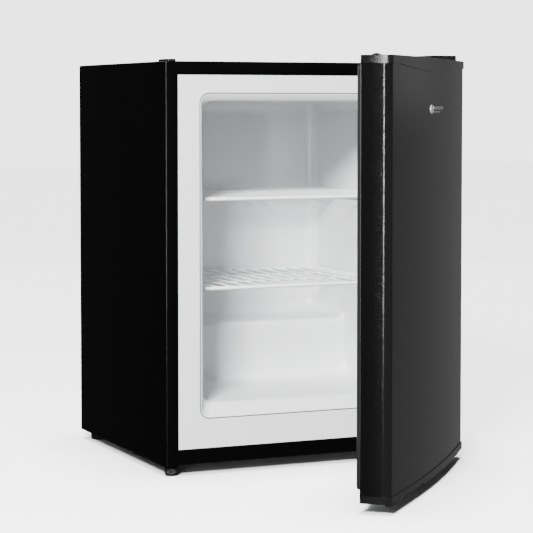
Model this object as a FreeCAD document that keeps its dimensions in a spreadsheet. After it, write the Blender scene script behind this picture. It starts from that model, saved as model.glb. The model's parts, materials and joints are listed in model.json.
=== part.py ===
"""Table-top freezer with one bowed door, hung on its right side and standing open."""
import FreeCAD, Part
import Sketcher
import math
import os

V = FreeCAD.Vector
doc = FreeCAD.newDocument("freezer")
sheet = doc.addObject("Spreadsheet::Sheet", "Sizes")
pieces = []


# ---------------------------------------------------------------- sizes
class Size:
    """A length that carries its number and the sheet formula that it comes from."""

    def __init__(self, text, value):
        self.text = text
        self.value = value

    def join(self, sign, other, value, swapped=False):
        first, second = (other, self) if swapped else (self, other)
        return Size(f"({first.text} {sign} {second.text})", value)

    def __add__(self, other):
        other = as_size(other)
        return self.join("+", other, self.value + other.value)

    def __radd__(self, other):
        return as_size(other) + self

    def __sub__(self, other):
        other = as_size(other)
        return self.join("-", other, self.value - other.value)

    def __rsub__(self, other):
        return as_size(other) - self

    def __mul__(self, other):
        other = as_size(other)
        return self.join("*", other, self.value * other.value)

    def __rmul__(self, other):
        return as_size(other) * self

    def __truediv__(self, other):
        other = as_size(other)
        return self.join("/", other, self.value / other.value)

    def __neg__(self):
        return as_size(0) - self

    def __float__(self):
        return float(self.value)


def as_size(number):
    return number if isinstance(number, Size) else Size(f"{float(number):.6g}", float(number))


def cell(name, value):
    """Adds one driving dimension to the sheet, in millimetres or degrees."""
    row = cell.rows = getattr(cell, "rows", 0) + 1
    sheet.set(f"A{row}", name)
    sheet.set(f"B{row}", str(value))
    sheet.setAlias(f"B{row}", name)
    return Size(f"Sizes.{name}", float(value))


# cabinet
width = cell("cabinet_width", 480)
depth = cell("cabinet_depth", 400)
height = cell("cabinet_height", 615)
foot_height = cell("foot_height", 14.5)
steel = cell("steel_sheet", 1)
flange = cell("front_flange", 20)
rail_rise = cell("rail_rise", 2.5)
rail_height = cell("rail_height", 23.2)
rail_depth = cell("rail_depth", 24)
# inner liner
liner_wall = cell("liner_wall", 1.5)
opening_side = cell("opening_side", 58.4)
opening_top = cell("opening_top", 50)
opening_bottom = cell("opening_bottom", 72.5)
funnel_slope = cell("funnel_slope", 11)
funnel_sill = cell("funnel_sill", 20)
funnel_depth = cell("funnel_depth", 22)
opening_radius = cell("opening_radius", 12)
cavity_depth = cell("cavity_depth", 345)
hump_depth = cell("hump_depth", 118)
hump_height = cell("hump_height", 98)
bay_depth = cell("bay_depth", 140)
bay_height = cell("bay_height", 152)
# shelves
shelf_low = cell("lower_shelf_level", 266)
shelf_high = cell("top_shelf_level", 404)
shelf_setback = cell("shelf_setback", 35)
shelf_gap = cell("shelf_side_gap", 3)
bar_size = cell("shelf_bar", 6)
wire_size = cell("shelf_wire", 3)
wire_pitch = cell("shelf_wire_pitch", 25)
ledge_width = cell("ledge_width", 9)
ledge_height = cell("ledge_height", 6)
# door
door_rise = cell("door_rise", 0.7)
door_over = cell("door_over_top", 2.4)
door_gap = cell("door_gap", 7)
door_side = cell("door_side_depth", 33.5)
chamfer_in = cell("door_chamfer_in", 3.5)
chamfer_deep = cell("door_chamfer_deep", 10)
bow = cell("door_bow", 10.1)
cap_proud = cell("cap_proud", 1.5)
cap_floor = cell("cap_floor", 3)
top_cap_height = cell("top_cap_height", 11.7)
lip_drop = cell("top_lip_drop", 8.5)
lip_inset = cell("top_lip_inset", 36)
bottom_cap_height = cell("bottom_cap_height", 10.5)
grip_length = cell("finger_grip_length", 150)
grip_height = cell("finger_grip_height", 4.5)
grip_inset = cell("finger_grip_inset", 9)
badge_width = cell("badge_width", 84)
badge_height = cell("badge_height", 14)
badge_level = cell("badge_below_top", 82)
badge_thick = cell("badge_thickness", 0.8)
seal_left = cell("seal_left_inset", 5)
seal_right = cell("seal_hinge_inset", 13)
seal_top = cell("seal_top_inset", 10)
seal_bottom = cell("seal_bottom_inset", 16)
seal_width = cell("seal_width", 15)
seal_clear = cell("seal_clearance", 0.4)
plug_margin = cell("door_plug_margin", 14)
# hinge
axis_in = cell("hinge_axis_in", 15)
axis_out = cell("hinge_axis_out", 25.3)
pin_size = cell("hinge_pin", 8)
running = cell("running_clearance", 0.05)
plate = cell("hinge_plate", 2.5)
open_angle = cell("open_angle", 48.8)
bush_wall = cell("bush_wall", 3)
bush_long = cell("bush_length", 15)
boss_wall = cell("boss_wall", 3)
hinge_wide = cell("top_hinge_width", 37)
hinge_side = cell("top_hinge_side_inset", 7)
hinge_long = cell("top_hinge_length", 48)
hinge_lift = cell("top_hinge_lift", 0.7)
cover_rise = cell("hinge_cover_height", 11.6)
cover_wall = cell("hinge_cover_wall", 1.6)
cover_ramp = cell("hinge_cover_ramp", 10)
low_hinge_left = cell("low_hinge_left_inset", 54)
low_hinge_right = cell("low_hinge_right_inset", 6)
low_hinge_end = cell("low_hinge_upright_end", 28)
# feet and compressor
foot_size = cell("foot_size", 22)
foot_in = cell("foot_in", 14)
stud_size = cell("foot_stud", 8)
shell_long = cell("compressor_long", 134)
shell_wide = cell("compressor_wide", 104)
shell_tall = cell("compressor_tall", 118)
tube_size = cell("tube_size", 6)
tube_tape = cell("tube_tape", 0.5)
tube_bend = cell("tube_bend", 16)
coil_pitch = cell("condenser_pitch", 45)
coil_start = cell("condenser_start", 60)
rear_foot_size = cell("rear_foot_size", 25)
rear_foot_in = cell("rear_foot_in", 22)
compressor_across = cell("compressor_across", 60)
compressor_deep = cell("compressor_depth_in_bay", 68)
grommet_height = cell("grommet_height", 10)
knob_in = cell("thermostat_in", 126)
knob_level = cell("thermostat_level", 62)
gland_in = cell("cord_gland_in", 60)
gland_level = cell("cord_gland_level", 40)
knob_size = cell("thermostat_knob", 30)

half = width / 2
front = -(depth / 2)
back = depth / 2
base = foot_height
top = base + height
rail_bottom = base + rail_rise
rail_top = rail_bottom + rail_height
opening_x = half - opening_side
opening_low = base + opening_bottom
opening_high = top - opening_top
cavity_x = opening_x - funnel_slope
cavity_low = opening_low + funnel_sill
cavity_high = opening_high - funnel_slope
cavity_front = front + funnel_depth
cavity_back = front + cavity_depth
hump_front = cavity_back - hump_depth
hump_top = cavity_low + hump_height
bay_front = back - bay_depth
bay_top = base + bay_height
door_low = base + door_rise
door_high = top + door_over
door_back = front - door_gap
side_end = door_back - door_side
face_edge = side_end - chamfer_deep
face_x = half - chamfer_in
bow_radius = face_x * face_x / (2 * bow) + bow / 2
axis_x = half - axis_in
axis_y = front - axis_out
deck = rail_bottom + steel


# ---------------------------------------------------------------- drawing helpers
def bind(item, **formulas):
    """Binds properties to sheet formulas; a double underscore stands for a dot."""
    for name, formula in formulas.items():
        item.setExpression(name.replace("__", "."), as_size(formula).text)


def keep(item, name):
    """Marks an object as one finished piece of the freezer."""
    item.Label = name
    pieces.append(item)
    return item


def block(low, high, name="Block"):
    """A box between two corners."""
    item = doc.addObject("Part::Box", name)
    bind(item, Length=high[0] - low[0], Width=high[1] - low[1], Height=high[2] - low[2])
    bind(item, Placement__Base__x=low[0], Placement__Base__y=low[1], Placement__Base__z=low[2])
    return item


def rod(start, radius, length, along="z", name="Rod"):
    """A round bar from a centre point, along one of the axes."""
    item = doc.addObject("Part::Cylinder", name)
    bind(item, Radius=radius, Height=length)
    turns = {"x": FreeCAD.Rotation(V(0, 1, 0), 90), "y": FreeCAD.Rotation(V(1, 0, 0), -90)}
    item.Placement = FreeCAD.Placement(V(0, 0, 0), turns.get(along, FreeCAD.Rotation()))
    bind(item, Placement__Base__x=start[0], Placement__Base__y=start[1], Placement__Base__z=start[2])
    return item


def taper(start, radius_low, radius_high, length, name="Taper"):
    """An upright cone stump."""
    item = doc.addObject("Part::Cone", name)
    bind(item, Radius1=radius_low, Radius2=radius_high, Height=length)
    bind(item, Placement__Base__x=start[0], Placement__Base__y=start[1], Placement__Base__z=start[2])
    return item


def join(parts, name="Joined"):
    item = doc.addObject("Part::MultiFuse", name)
    item.Shapes = parts
    item.Refine = True
    return item


def group(parts, name="Group"):
    """Separate solids of one kind, kept as one piece."""
    item = doc.addObject("Part::Compound", name)
    item.Links = parts
    return item


def cut(solid, tools, name="Cut"):
    """Takes one or more tools away from a solid."""
    item = doc.addObject("Part::Cut", name)
    item.Base = solid
    item.Tool = tools[0] if len(tools) == 1 else join(tools, "Tools")
    return item


def common(solid, tool, name="Common"):
    item = doc.addObject("Part::Common", name)
    item.Base = solid
    item.Tool = tool
    return item


def arc_middle(start, end, radius, side):
    """The middle of a short arc; side 1 bulges to the right of the way from start to end."""
    chord = math.dist(start, end)
    sag = radius - math.sqrt(max(radius ** 2 - chord ** 2 / 4, 0))
    across = ((end[1] - start[1]) / chord, -(end[0] - start[0]) / chord)
    return [(start[k] + end[k]) / 2 + side * sag * across[k] for k in (0, 1)]


def sketch(body, plane, offset, loops):
    """Closed outlines on a plane of the body; a corner (x, y, radius, side) starts an arc."""
    drawing = body.newObject("Sketcher::SketchObject", "Sketch")
    support = [f for f in body.Origin.OriginFeatures if f.Role == plane][0]
    drawing.AttachmentSupport = [(support, "")]
    drawing.MapMode = "FlatFace"
    bind(drawing, AttachmentOffset__Base__z=offset)
    for loop in loops:
        draw_loop(drawing, loop)
    doc.recompute()
    return drawing


def draw_loop(drawing, loop):
    first = drawing.GeometryCount
    count = len(loop)
    for index, corner in enumerate(loop):
        start = (float(corner[0]), float(corner[1]))
        after = loop[(index + 1) % count]
        end = (float(after[0]), float(after[1]))
        if len(corner) == 4:
            middle = arc_middle(start, end, float(corner[2]), corner[3])
            ends = (start, end) if corner[3] > 0 else (end, start)
            edge = Part.Arc(V(*ends[0]), V(*middle), V(*ends[1]))
        else:
            edge = Part.LineSegment(V(*start), V(*end))
        drawing.addGeometry(edge, False)
    ends = [end_places(drawing, first + k, loop[k]) for k in range(count)]
    for index, corner in enumerate(loop):
        number = first + index
        follower = first + (index + 1) % count
        meet = (number, ends[index][1], follower, ends[(index + 1) % count][0])
        drawing.addConstraint(Sketcher.Constraint("Coincident", *meet))
        for kind, place in (("DistanceX", corner[0]), ("DistanceY", corner[1])):
            label = f"{kind}{number}"
            spot = Sketcher.Constraint(kind, -1, 1, number, ends[index][0], float(place))
            drawing.renameConstraint(drawing.addConstraint(spot), label)
            drawing.setExpression(f"Constraints.{label}", as_size(place).text)
        if len(corner) == 4:
            bend = Sketcher.Constraint("Radius", number, float(corner[2]))
            drawing.renameConstraint(drawing.addConstraint(bend), f"Bend{number}")
            drawing.setExpression(f"Constraints.Bend{number}", as_size(corner[2]).text)


def end_places(drawing, number, corner):
    """Which end of an edge is its start: an arc is always stored counterclockwise."""
    edge = drawing.Geometry[number]
    start = edge.StartPoint if hasattr(edge, "StartPoint") else edge.value(edge.FirstParameter)
    near = math.dist((start.x, start.y), (float(corner[0]), float(corner[1]))) < 1e-6
    return (1, 2) if near else (2, 1)


def rounded(x_low, y_low, x_high, y_high, radius):
    """A rectangle with round corners, counterclockwise."""
    return [
        (x_low + radius, y_low), (x_high - radius, y_low, radius, 1),
        (x_high, y_low + radius), (x_high, y_high - radius, radius, 1),
        (x_high - radius, y_high), (x_low + radius, y_high, radius, 1),
        (x_low, y_high - radius), (x_low, y_low + radius, radius, 1),
    ]


def rectangle(x_low, y_low, x_high, y_high):
    return [(x_low, y_low), (x_high, y_low), (x_high, y_high), (x_low, y_high)]


def new_body(name):
    body = doc.addObject("PartDesign::Body", "Body")
    body.Label = name
    return body


def pad(body, plane, offset, loops, length, reverse=False):
    """Pads outlines: XY goes up, XZ goes forward (to -Y), YZ goes right (to +X)."""
    feature = body.newObject("PartDesign::Pad", "Pad")
    feature.Profile = sketch(body, plane, offset, loops)
    bind(feature, Length=length)
    feature.Reversed = reverse
    doc.recompute()
    return feature


def pocket(body, plane, offset, loops, length, reverse=False):
    """Cuts outlines away, and stops if nothing was cut. Unreversed, it cuts against the pad's way."""
    before = body.Shape.Volume
    feature = body.newObject("PartDesign::Pocket", "Pocket")
    feature.Profile = sketch(body, plane, offset, loops)
    bind(feature, Length=length)
    feature.Reversed = reverse
    doc.recompute()
    if body.Shape.Volume > before - 0.5:
        raise RuntimeError(f"a pocket of {body.Label} cuts nothing")
    return feature


def round_edges(body, radius, wanted):
    """Rounds the edges of the body that a test picks by their middle point and direction."""
    tip = body.Tip
    names = []
    for index, edge in enumerate(tip.Shape.Edges):
        middle = edge.valueAt((edge.FirstParameter + edge.LastParameter) / 2)
        if wanted(edge, middle):
            names.append(f"Edge{index + 1}")
    feature = body.newObject("PartDesign::Fillet", "Fillet")
    feature.Base = (tip, names)
    bind(feature, Radius=radius)
    doc.recompute()
    return feature


def swing(item):
    """Turns a door piece, drawn closed, about the hinge axis to where the door stands."""
    turn = FreeCAD.Rotation(V(0, 0, 1), float(open_angle))
    centre = V(float(axis_x), float(axis_y), 0)
    item.Placement = FreeCAD.Placement(V(0, 0, 0), turn, centre)
    return item


def pipe_path(points, bend):
    """Straight runs joined by tangent arcs of one bend radius."""
    corners = [V(*map(float, point)) for point in points]
    edges = []
    here = corners[0]
    for before, corner, after in zip(corners, corners[1:], corners[2:]):
        into = (before - corner).normalize()
        out = (after - corner).normalize()
        half_angle = into.getAngle(out) / 2
        back_off = bend / math.tan(half_angle)
        centre = corner + (into + out).normalize() * (bend / math.sin(half_angle))
        start = corner + into * back_off
        end = corner + out * back_off
        middle = centre + (corner - centre).normalize() * bend
        edges.append(Part.LineSegment(here, start).toShape())
        edges.append(Part.Arc(start, middle, end).toShape())
        here = end
    edges.append(Part.LineSegment(here, corners[-1]).toShape())
    return Part.Wire(edges)


def pipe(points, bend, diameter, name="Pipe"):
    """A bent tube, drawn as a solid rod of its outer size."""
    path = pipe_path(points, bend)
    start = path.OrderedVertexes[0].Point
    way = path.OrderedEdges[0].tangentAt(path.OrderedEdges[0].FirstParameter)
    section = Part.Wire(Part.makeCircle(diameter / 2, start, way))
    item = doc.addObject("Part::Feature", name)
    item.Shape = path.makePipeShell([section], True, False)
    return item


# ---------------------------------------------------------------- cabinet shell
def outer_wrapper():
    """One bent sheet for both sides and the top, with a return flange round the front."""
    body = new_body("outer_wrapper")
    inner = half - steel
    bend = steel * 2.5
    profile = [
        (-half, base), (-inner, base), (-inner, top - steel), (inner, top - steel), (inner, base),
        (half, base), (half, top - bend, bend, 1), (half - bend, top), (bend - half, top, bend, 1),
        (-half, top - bend),
    ]
    pad(body, "XZ_Plane", -back, [profile], depth)
    edge_x = half - flange
    edge_z = top - flange
    fold = [
        (-inner, base), (-edge_x, base), (-edge_x, edge_z), (edge_x, edge_z), (edge_x, base),
        (inner, base), (inner, top - steel), (-inner, top - steel),
    ]
    pad(body, "XZ_Plane", -(front + steel), [fold], steel)
    slit = steel * 0.35
    for side in (-1, 1):
        mitre = [
            (side * (edge_x - slit), edge_z), (side * edge_x, edge_z - slit),
            (side * (inner - 1), top - steel * 2 - slit), (side * (inner - 1 - slit), top - steel * 2),
        ]
        mitre = mitre if side > 0 else mitre[::-1]
        pocket(body, "XZ_Plane", -(front + steel), [mitre], steel, reverse=True)
    round_edges(body, steel * 0.9, is_front_outer_edge)
    return keep(body, "outer_wrapper")


def is_front_outer_edge(edge, middle):
    on_front = abs(middle.y - float(front)) < 1e-4
    outside = abs(abs(middle.x) - float(half)) < 1e-4 or abs(middle.z - float(top)) < 1e-4
    return on_front and outside and edge.Length > 50


def front_bottom_rail():
    """A channel across the front, under the liner, between the side flanges."""
    body = new_body("front_bottom_rail_blank")
    nose = front + steel
    tail = front + rail_depth
    profile = [
        (front, rail_bottom), (tail, rail_bottom), (tail, rail_bottom + steel), (nose, rail_bottom + steel),
        (nose, rail_top - steel), (tail - 6, rail_top - steel), (tail - 6, rail_top), (front, rail_top),
    ]
    reach = half - flange - 0.3
    pad(body, "YZ_Plane", -reach, [profile], reach * 2)
    hidden = [
        block((side_low, nose, rail_bottom), (side_high, tail, deck))
        for side_low, side_high in ((-(half - steel), -reach), (reach, half - steel))
    ]
    holes = [rod((side * (half - foot_in), front + foot_in, base), stud_size / 2 + 1, 20) for side in (-1, 1)]
    return keep(cut(join([body] + hidden), holes), "front_bottom_rail")


def back_panel():
    low = (-(half - steel), back - steel, bay_top)
    return keep(block(low, (half - steel, back, top - steel)), "back_panel")


def bay_panel():
    """A bent sheet that walls the compressor bay off from the insulation."""
    body = new_body("compressor_bay_panel")
    tail = back - steel
    profile = [
        (bay_front, deck), (bay_front + steel, deck), (bay_front + steel, bay_top - steel),
        (tail, bay_top - steel), (tail, bay_top), (bay_front, bay_top),
    ]
    reach = half - steel
    pad(body, "YZ_Plane", -reach, [profile], reach * 2)
    return keep(body, "compressor_bay_panel")


def bottom_plate():
    low = (-(half - steel), front + rail_depth, rail_bottom)
    return keep(block(low, (half - steel, bay_front + steel, deck)), "bottom_plate")


def compressor_tray():
    """The thicker floor of the bay, with four bolt holes and slots for air."""
    plate_top = rail_bottom + 1.5 * steel
    low = (-(half - steel), bay_front + steel, rail_bottom)
    tray = block(low, (half - steel, back - 2 * steel, plate_top))
    holes = [rod((x, y, base), 4, 10) for x, y in compressor_feet_places()]
    for index in range(6):
        start = -half + 30 + index * 22
        holes.append(block((start, bay_front + 30, base), (start + 8, back - 30, plate_top + 5)))
    return keep(cut(tray, holes), "compressor_tray")


compressor_x = compressor_across
compressor_y = bay_front + compressor_deep


def compressor_feet_places():
    return [(compressor_x + sx * 72, compressor_y + sy * 38) for sx in (-1, 1) for sy in (-1, 1)]


# ---------------------------------------------------------------- liner, tubes and insulation
def liner_block(grow):
    """The cavity with its funnel mouth, grown by a wall thickness all round."""
    body = new_body("liner_block")
    mouth = rounded(-(opening_x + grow), opening_low - grow, opening_x + grow, opening_high + grow,
                    opening_radius + grow)
    throat = rounded(-(cavity_x + grow), cavity_low - grow, cavity_x + grow, cavity_high + grow,
                     opening_radius + grow)
    front_sketch = sketch(body, "XZ_Plane", -front, [mouth])
    throat_sketch = sketch(body, "XZ_Plane", -cavity_front, [throat])
    loft = body.newObject("PartDesign::AdditiveLoft", "Funnel")
    loft.Profile = front_sketch
    loft.Sections = [throat_sketch]
    loft.Ruled = True
    doc.recompute()
    pad(body, "XZ_Plane", -cavity_front, [throat], cavity_depth - funnel_depth + grow, reverse=True)
    step = rectangle(hump_front + grow, cavity_low - grow - 5, cavity_back + grow + 5, hump_top - grow)
    pocket(body, "YZ_Plane", -(half), [step], width, reverse=True)
    return body


def inner_liner():
    """The white formed liner: a front flange, a funnel, the cavity, and a step over the compressor."""
    plate_front = front + steel
    flange_x = half - 6
    plate_low = (-flange_x, plate_front, rail_top)
    lip = block(plate_low, (flange_x, plate_front + liner_wall, top - 6))
    shell = cut(join([lip, liner_block(liner_wall)]), [liner_block(as_size(0))])
    trimmed = cut(shell, [block((-half, front - 5, base), (half, plate_front, top))])
    ledges = []
    for level in (shelf_low, shelf_high):
        for side in (-1, 1):
            under = base + level - bar_size / 2 - 0.4
            inner = cavity_x - ledge_width
            x_low, x_high = (-cavity_x - 0.5, -inner) if side < 0 else (inner, cavity_x + 0.5)
            ends = ((x_low, cavity_front + 20, under - ledge_height), (x_high, cavity_back - 12, under))
            ledges.append(block(*ends))
    return keep(join([trimmed] + ledges), "inner_liner")


def evaporator_tube():
    """The cold tube winds round the liner's two sides and back, inside the insulation."""
    x = float(cavity_x) + 8
    y_front = float(cavity_front) + 40
    y_back = float(cavity_back) + 10
    levels = [float(hump_top) + 30 + 62 * k for k in range(5)]
    points = []
    for index, level in enumerate(levels):
        row = [(-x, y_front, level), (-x, y_back, level), (x, y_back, level), (x, y_front, level)]
        points += row if index % 2 == 0 else row[::-1]
    return keep(pipe(points, float(tube_bend), float(tube_size), "Evaporator"), "evaporator_tube")


def condenser_coil(side, name):
    """The warm tube runs up and down the inside of a side sheet."""
    x = side * float(half - steel - tube_size / 2 - tube_tape)
    columns = [float(front + coil_start + coil_pitch * k) for k in range(7)]
    low = float(bay_top) + 22
    high = float(top) - 40
    points = []
    for index, y in enumerate(columns):
        column = [(x, y, low), (x, y, high)]
        points += column if index % 2 == 0 else column[::-1]
    return keep(pipe(points, float(tube_bend), float(tube_size), "Condenser"), name)


def insulation_foam(tubes):
    """Everything between the sheet shell and the liner is foamed solid."""
    inner = half - steel
    full = block((-inner, front + steel + liner_wall, deck), (inner, back - steel, top - steel))
    bay = block((-half, bay_front, base), (half, back, bay_top))
    rail = block((-half, front, base), (half, front + rail_depth, rail_top))
    sockets = [rod((x, front + foot_in, base), 9, 25) for x in (foot_in - half, half - foot_in)]
    cavity = liner_block(liner_wall)
    return keep(cut(full, [bay, rail, cavity] + sockets + tubes), "insulation_foam")


# ---------------------------------------------------------------- shelves
def wire_shelf(level, name):
    """A coated wire shelf: a frame bar all round, a row of wires on two cross bars."""
    x_out = cavity_x - shelf_gap
    y_front = front + shelf_setback
    y_back = cavity_back - 5
    z = base + level
    bar = bar_size / 2
    parts = [
        rod((-x_out, y_front + bar, z), bar, x_out * 2, "x"),
        rod((-x_out, y_back - bar, z), bar, x_out * 2, "x"),
        rod((-x_out + bar, y_front + bar, z), bar, y_back - y_front - bar_size, "y"),
        rod((x_out - bar, y_front + bar, z), bar, y_back - y_front - bar_size, "y"),
    ]
    wires = 12
    for index in range(wires):
        x = (index - (wires - 1) / 2) * wire_pitch
        lift = z + bar - wire_size / 2
        parts.append(rod((x, y_front + bar, lift), wire_size / 2, y_back - y_front - bar_size, "y"))
    for share in (0.36, 0.7):
        y = y_front + (y_back - y_front) * share
        parts.append(rod((-x_out + bar, y, z + bar - wire_size * 1.4), wire_size / 2, (x_out - bar) * 2, "x"))
    return keep(join(parts), name)


# ---------------------------------------------------------------- door, drawn closed and then swung
def door_outline(grow, rear):
    """The plan of the door: flat sides, a chamfer strip, and a bowed face."""
    side_x = half + grow
    edge = face_x + grow
    radius = bow_radius + grow
    nose = face_edge - grow
    return [
        (-side_x, rear), (-side_x, side_end), (-edge, nose, radius, 1), (edge, nose),
        (side_x, side_end), (side_x, rear),
    ]


def door_outer_panel():
    """One wrapped sheet for the face and both sides, with returns behind."""
    body = new_body("door_outer_panel")
    low = door_low + cap_floor
    tall = door_high - door_low - cap_floor * 2
    pad(body, "XY_Plane", low, [door_outline(as_size(0), door_back)], tall)
    inner = door_outline(-steel, door_back - steel)
    pocket(body, "XY_Plane", low, [inner], tall, reverse=True)
    reach = half - 16
    gap = rectangle(-reach, door_back - steel - 1, reach, door_back + 1)
    pocket(body, "XY_Plane", low, [gap], tall, reverse=True)
    return keep(swing(body), "door_outer_panel")


def door_top_cap():
    """The moulded top cap, whose front lip hangs down in a shallow arc."""
    body = new_body("door_top_cap_blank")
    deepest = top_cap_height + lip_drop
    low = door_high - deepest
    pad(body, "XY_Plane", low, [door_outline(cap_proud, door_back)], deepest)
    hollow = door_outline(as_size(0), door_back + 5)
    pocket(body, "XY_Plane", low, [hollow], deepest - cap_floor, reverse=True)
    end = half - lip_inset
    line = door_high - top_cap_height
    radius = end * end / (2 * lip_drop) + lip_drop / 2
    below = [
        (-half - 10, low - 5), (half + 10, low - 5), (half + 10, line), (end, line, radius, -1),
        (-end, line), (-half - 10, line),
    ]
    pocket(body, "XZ_Plane", -(door_back + 5), [below], 80, reverse=True)
    return body


def door_bottom_cap():
    """The moulded bottom cap, with a finger grip under its front edge and a corner lug."""
    body = new_body("door_bottom_cap_blank")
    pad(body, "XY_Plane", door_low, [door_outline(cap_proud, door_back)], bottom_cap_height)
    hollow = door_outline(as_size(0), door_back + 5)
    pocket(body, "XY_Plane", door_low + cap_floor, [hollow], bottom_cap_height, reverse=True)
    return body


def finger_grip():
    """A wedge under the front edge; the hand goes in there to pull the door."""
    deepest = face_edge - bow - cap_proud
    body = new_body("finger_grip")
    under = door_low - 1
    wedge = [(deepest - 3, under), (face_edge + 3, under), (deepest - 3, door_low + grip_height)]
    pad(body, "YZ_Plane", -(half - grip_inset), [wedge], grip_length)
    return body


def door_caps():
    """Both caps, each with a bored boss for its hinge bush."""
    bush_size = pin_size / 2 + bush_wall
    boss_size = bush_size + boss_wall
    boss_low = door_high - bush_long
    boss_long = bush_long - cap_floor + 1
    top_boss = rod((axis_x, axis_y, boss_low), boss_size, boss_long)
    bore = rod((axis_x, axis_y, boss_low - 1), bush_size, bush_long * 2)
    plug_hole = rod((-axis_x, axis_y, door_high - 10), as_size(3), as_size(20))
    top_cap = cut(join([door_top_cap(), top_boss]), [bore, plug_hole])
    keep(swing(top_cap), "door_top_cap")
    lug = block((-(half - 2), face_edge - 3, door_low - 3), (-(half - 14), face_edge + 8, door_low + 1))
    bottom_boss = rod((axis_x, axis_y, door_low + 2), boss_size, boss_long)
    bottom_bore = rod((axis_x, axis_y, door_low - 5), bush_size, bush_long * 2)
    bottom_cap = cut(join([door_bottom_cap(), bottom_boss, lug]), [bottom_bore, finger_grip()])
    keep(swing(bottom_cap), "door_bottom_cap")


def hinge_bushes():
    """Plastic bushes pressed into the caps, which turn on the hinge pins."""
    for name, low in (("door_top_bush", door_high - bush_long), ("door_bottom_bush", door_low)):
        sleeve = rod((axis_x, axis_y, low), pin_size / 2 + bush_wall, bush_long)
        bore = rod((axis_x, axis_y, low - 1), pin_size / 2 + running, bush_long + 2)
        keep(swing(cut(sleeve, [bore])), name)


def door_hole_plug():
    """A domed plug closes the spare hinge hole, for a door hung the other way."""
    stem = rod((-axis_x, axis_y, door_high - cap_floor), as_size(2.9), cap_floor + 0.5)
    head = doc.addObject("Part::Sphere", "Head")
    bind(head, Radius=11)
    bind(head, Placement__Base__x=-axis_x, Placement__Base__y=axis_y, Placement__Base__z=door_high - 8.2)
    above = block((-half - 20, axis_y - 20, door_high), (0 - half + 60, axis_y + 20, door_high + 6))
    keep(swing(join([stem, common(head, above)])), "door_hole_plug")


seal_back = front - seal_clear
liner_face = door_back + 1


def door_liner():
    """The inner door skin: a flange that holds the seal, and a raised flat panel."""
    flange_low = (-(half - 2), door_back, door_low + 2)
    lip = block(flange_low, (half - 2, liner_face, door_high - 2))
    reach = opening_x - plug_margin
    rise = front + 9
    body = new_body("door_liner_panel")
    low = opening_low + plug_margin
    high = opening_high - plug_margin
    draft = 6
    pan = sketch(body, "XZ_Plane", -door_back, [rounded(-reach, low, reach, high, opening_radius)])
    face = sketch(body, "XZ_Plane", -rise,
                  [rounded(-(reach - draft), low + draft, reach - draft, high - draft, opening_radius)])
    loft = body.newObject("PartDesign::AdditiveLoft", "Pan")
    loft.Profile = pan
    loft.Sections = [face]
    loft.Ruled = True
    doc.recompute()
    core = new_body("door_liner_core")
    inset = liner_wall
    pan_in = sketch(core, "XZ_Plane", -(door_back - 1),
                    [rounded(-(reach - inset), low + inset, reach - inset, high - inset, opening_radius)])
    face_in = sketch(core, "XZ_Plane", -(rise - inset),
                     [rounded(-(reach - draft - inset), low + draft + inset, reach - draft - inset,
                              high - draft - inset, opening_radius)])
    hollow = core.newObject("PartDesign::AdditiveLoft", "Core")
    hollow.Profile = pan_in
    hollow.Sections = [face_in]
    hollow.Ruled = True
    doc.recompute()
    keep(swing(cut(join([lip, body]), [core])), "door_liner")
    return core


def door_foam(core):
    """Foam fills the door between its face and its inner skin."""
    body = new_body("door_foam_block")
    low = door_low + bottom_cap_height + 5
    tall = door_high - 15 - low
    pad(body, "XY_Plane", low, [door_outline(-steel, door_back - steel)], tall)
    rear = block((-(half - 16), door_back - steel - 0.5, low), (half - 16, door_back, low + tall))
    keep(swing(join([body, rear])), "door_foam")


def seal_ring(grow, y_low, y_high):
    """A frame-shaped ring that follows the seal, grown outward by a distance."""
    out = rounded(-(half - seal_left) - grow, door_low + seal_bottom - grow, half - seal_right + grow,
                  door_high - seal_top + grow, as_size(9) + grow)
    span = seal_width
    inside = rounded(-(half - seal_left) + span + grow, door_low + seal_bottom + span + grow,
                     half - seal_right - span - grow, door_high - seal_top - span - grow, as_size(4))
    body = new_body("seal")
    pad(body, "XZ_Plane", -y_high, [out, inside], y_high - y_low)
    return body


def door_gasket():
    """The magnetic seal, with the channel that holds its magnet strips."""
    ring = seal_ring(as_size(0), liner_face, seal_back)
    keep(swing(cut(ring, magnet_bars())), "door_gasket")
    keep(swing(group(magnet_bars())), "gasket_magnet_strips")


def magnet_bars():
    """Four bars inside the seal, one for each side."""
    left = -(half - seal_left) + 5
    right = half - seal_right - 5
    low = door_low + seal_bottom + 5
    high = door_high - seal_top - 5
    y_low = seal_back - 3
    y_high = seal_back - 1
    reach = 6
    spans = [
        ((left, low + reach), (left + 5, high - reach)), ((right - 5, low + reach), (right, high - reach)),
        ((left + reach, low), (right - reach, low + 5)), ((left + reach, high - 5), (right - reach, high)),
    ]
    return [block((a[0], y_low, a[1]), (b[0], y_high, b[1])) for a, b in spans]


def door_badge():
    """A small plain plate near the top of the face, bent to follow it."""
    low = door_high - badge_level
    plate_body = new_body("badge_plate")
    loop = rounded(-badge_width / 2, low, badge_width / 2, low + badge_height, as_size(2))
    pad(plate_body, "XZ_Plane", -(face_edge + 2), [loop], as_size(30))
    shells = []
    for grow in (badge_thick, as_size(0)):
        shell = new_body("badge_shell")
        outline = door_outline(grow, door_back)
        pad(shell, "XY_Plane", low - 2, [outline], badge_height + 4)
        shells.append(shell)
    keep(swing(cut(common(plate_body, shells[0]), [shells[1]])), "door_badge")


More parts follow.
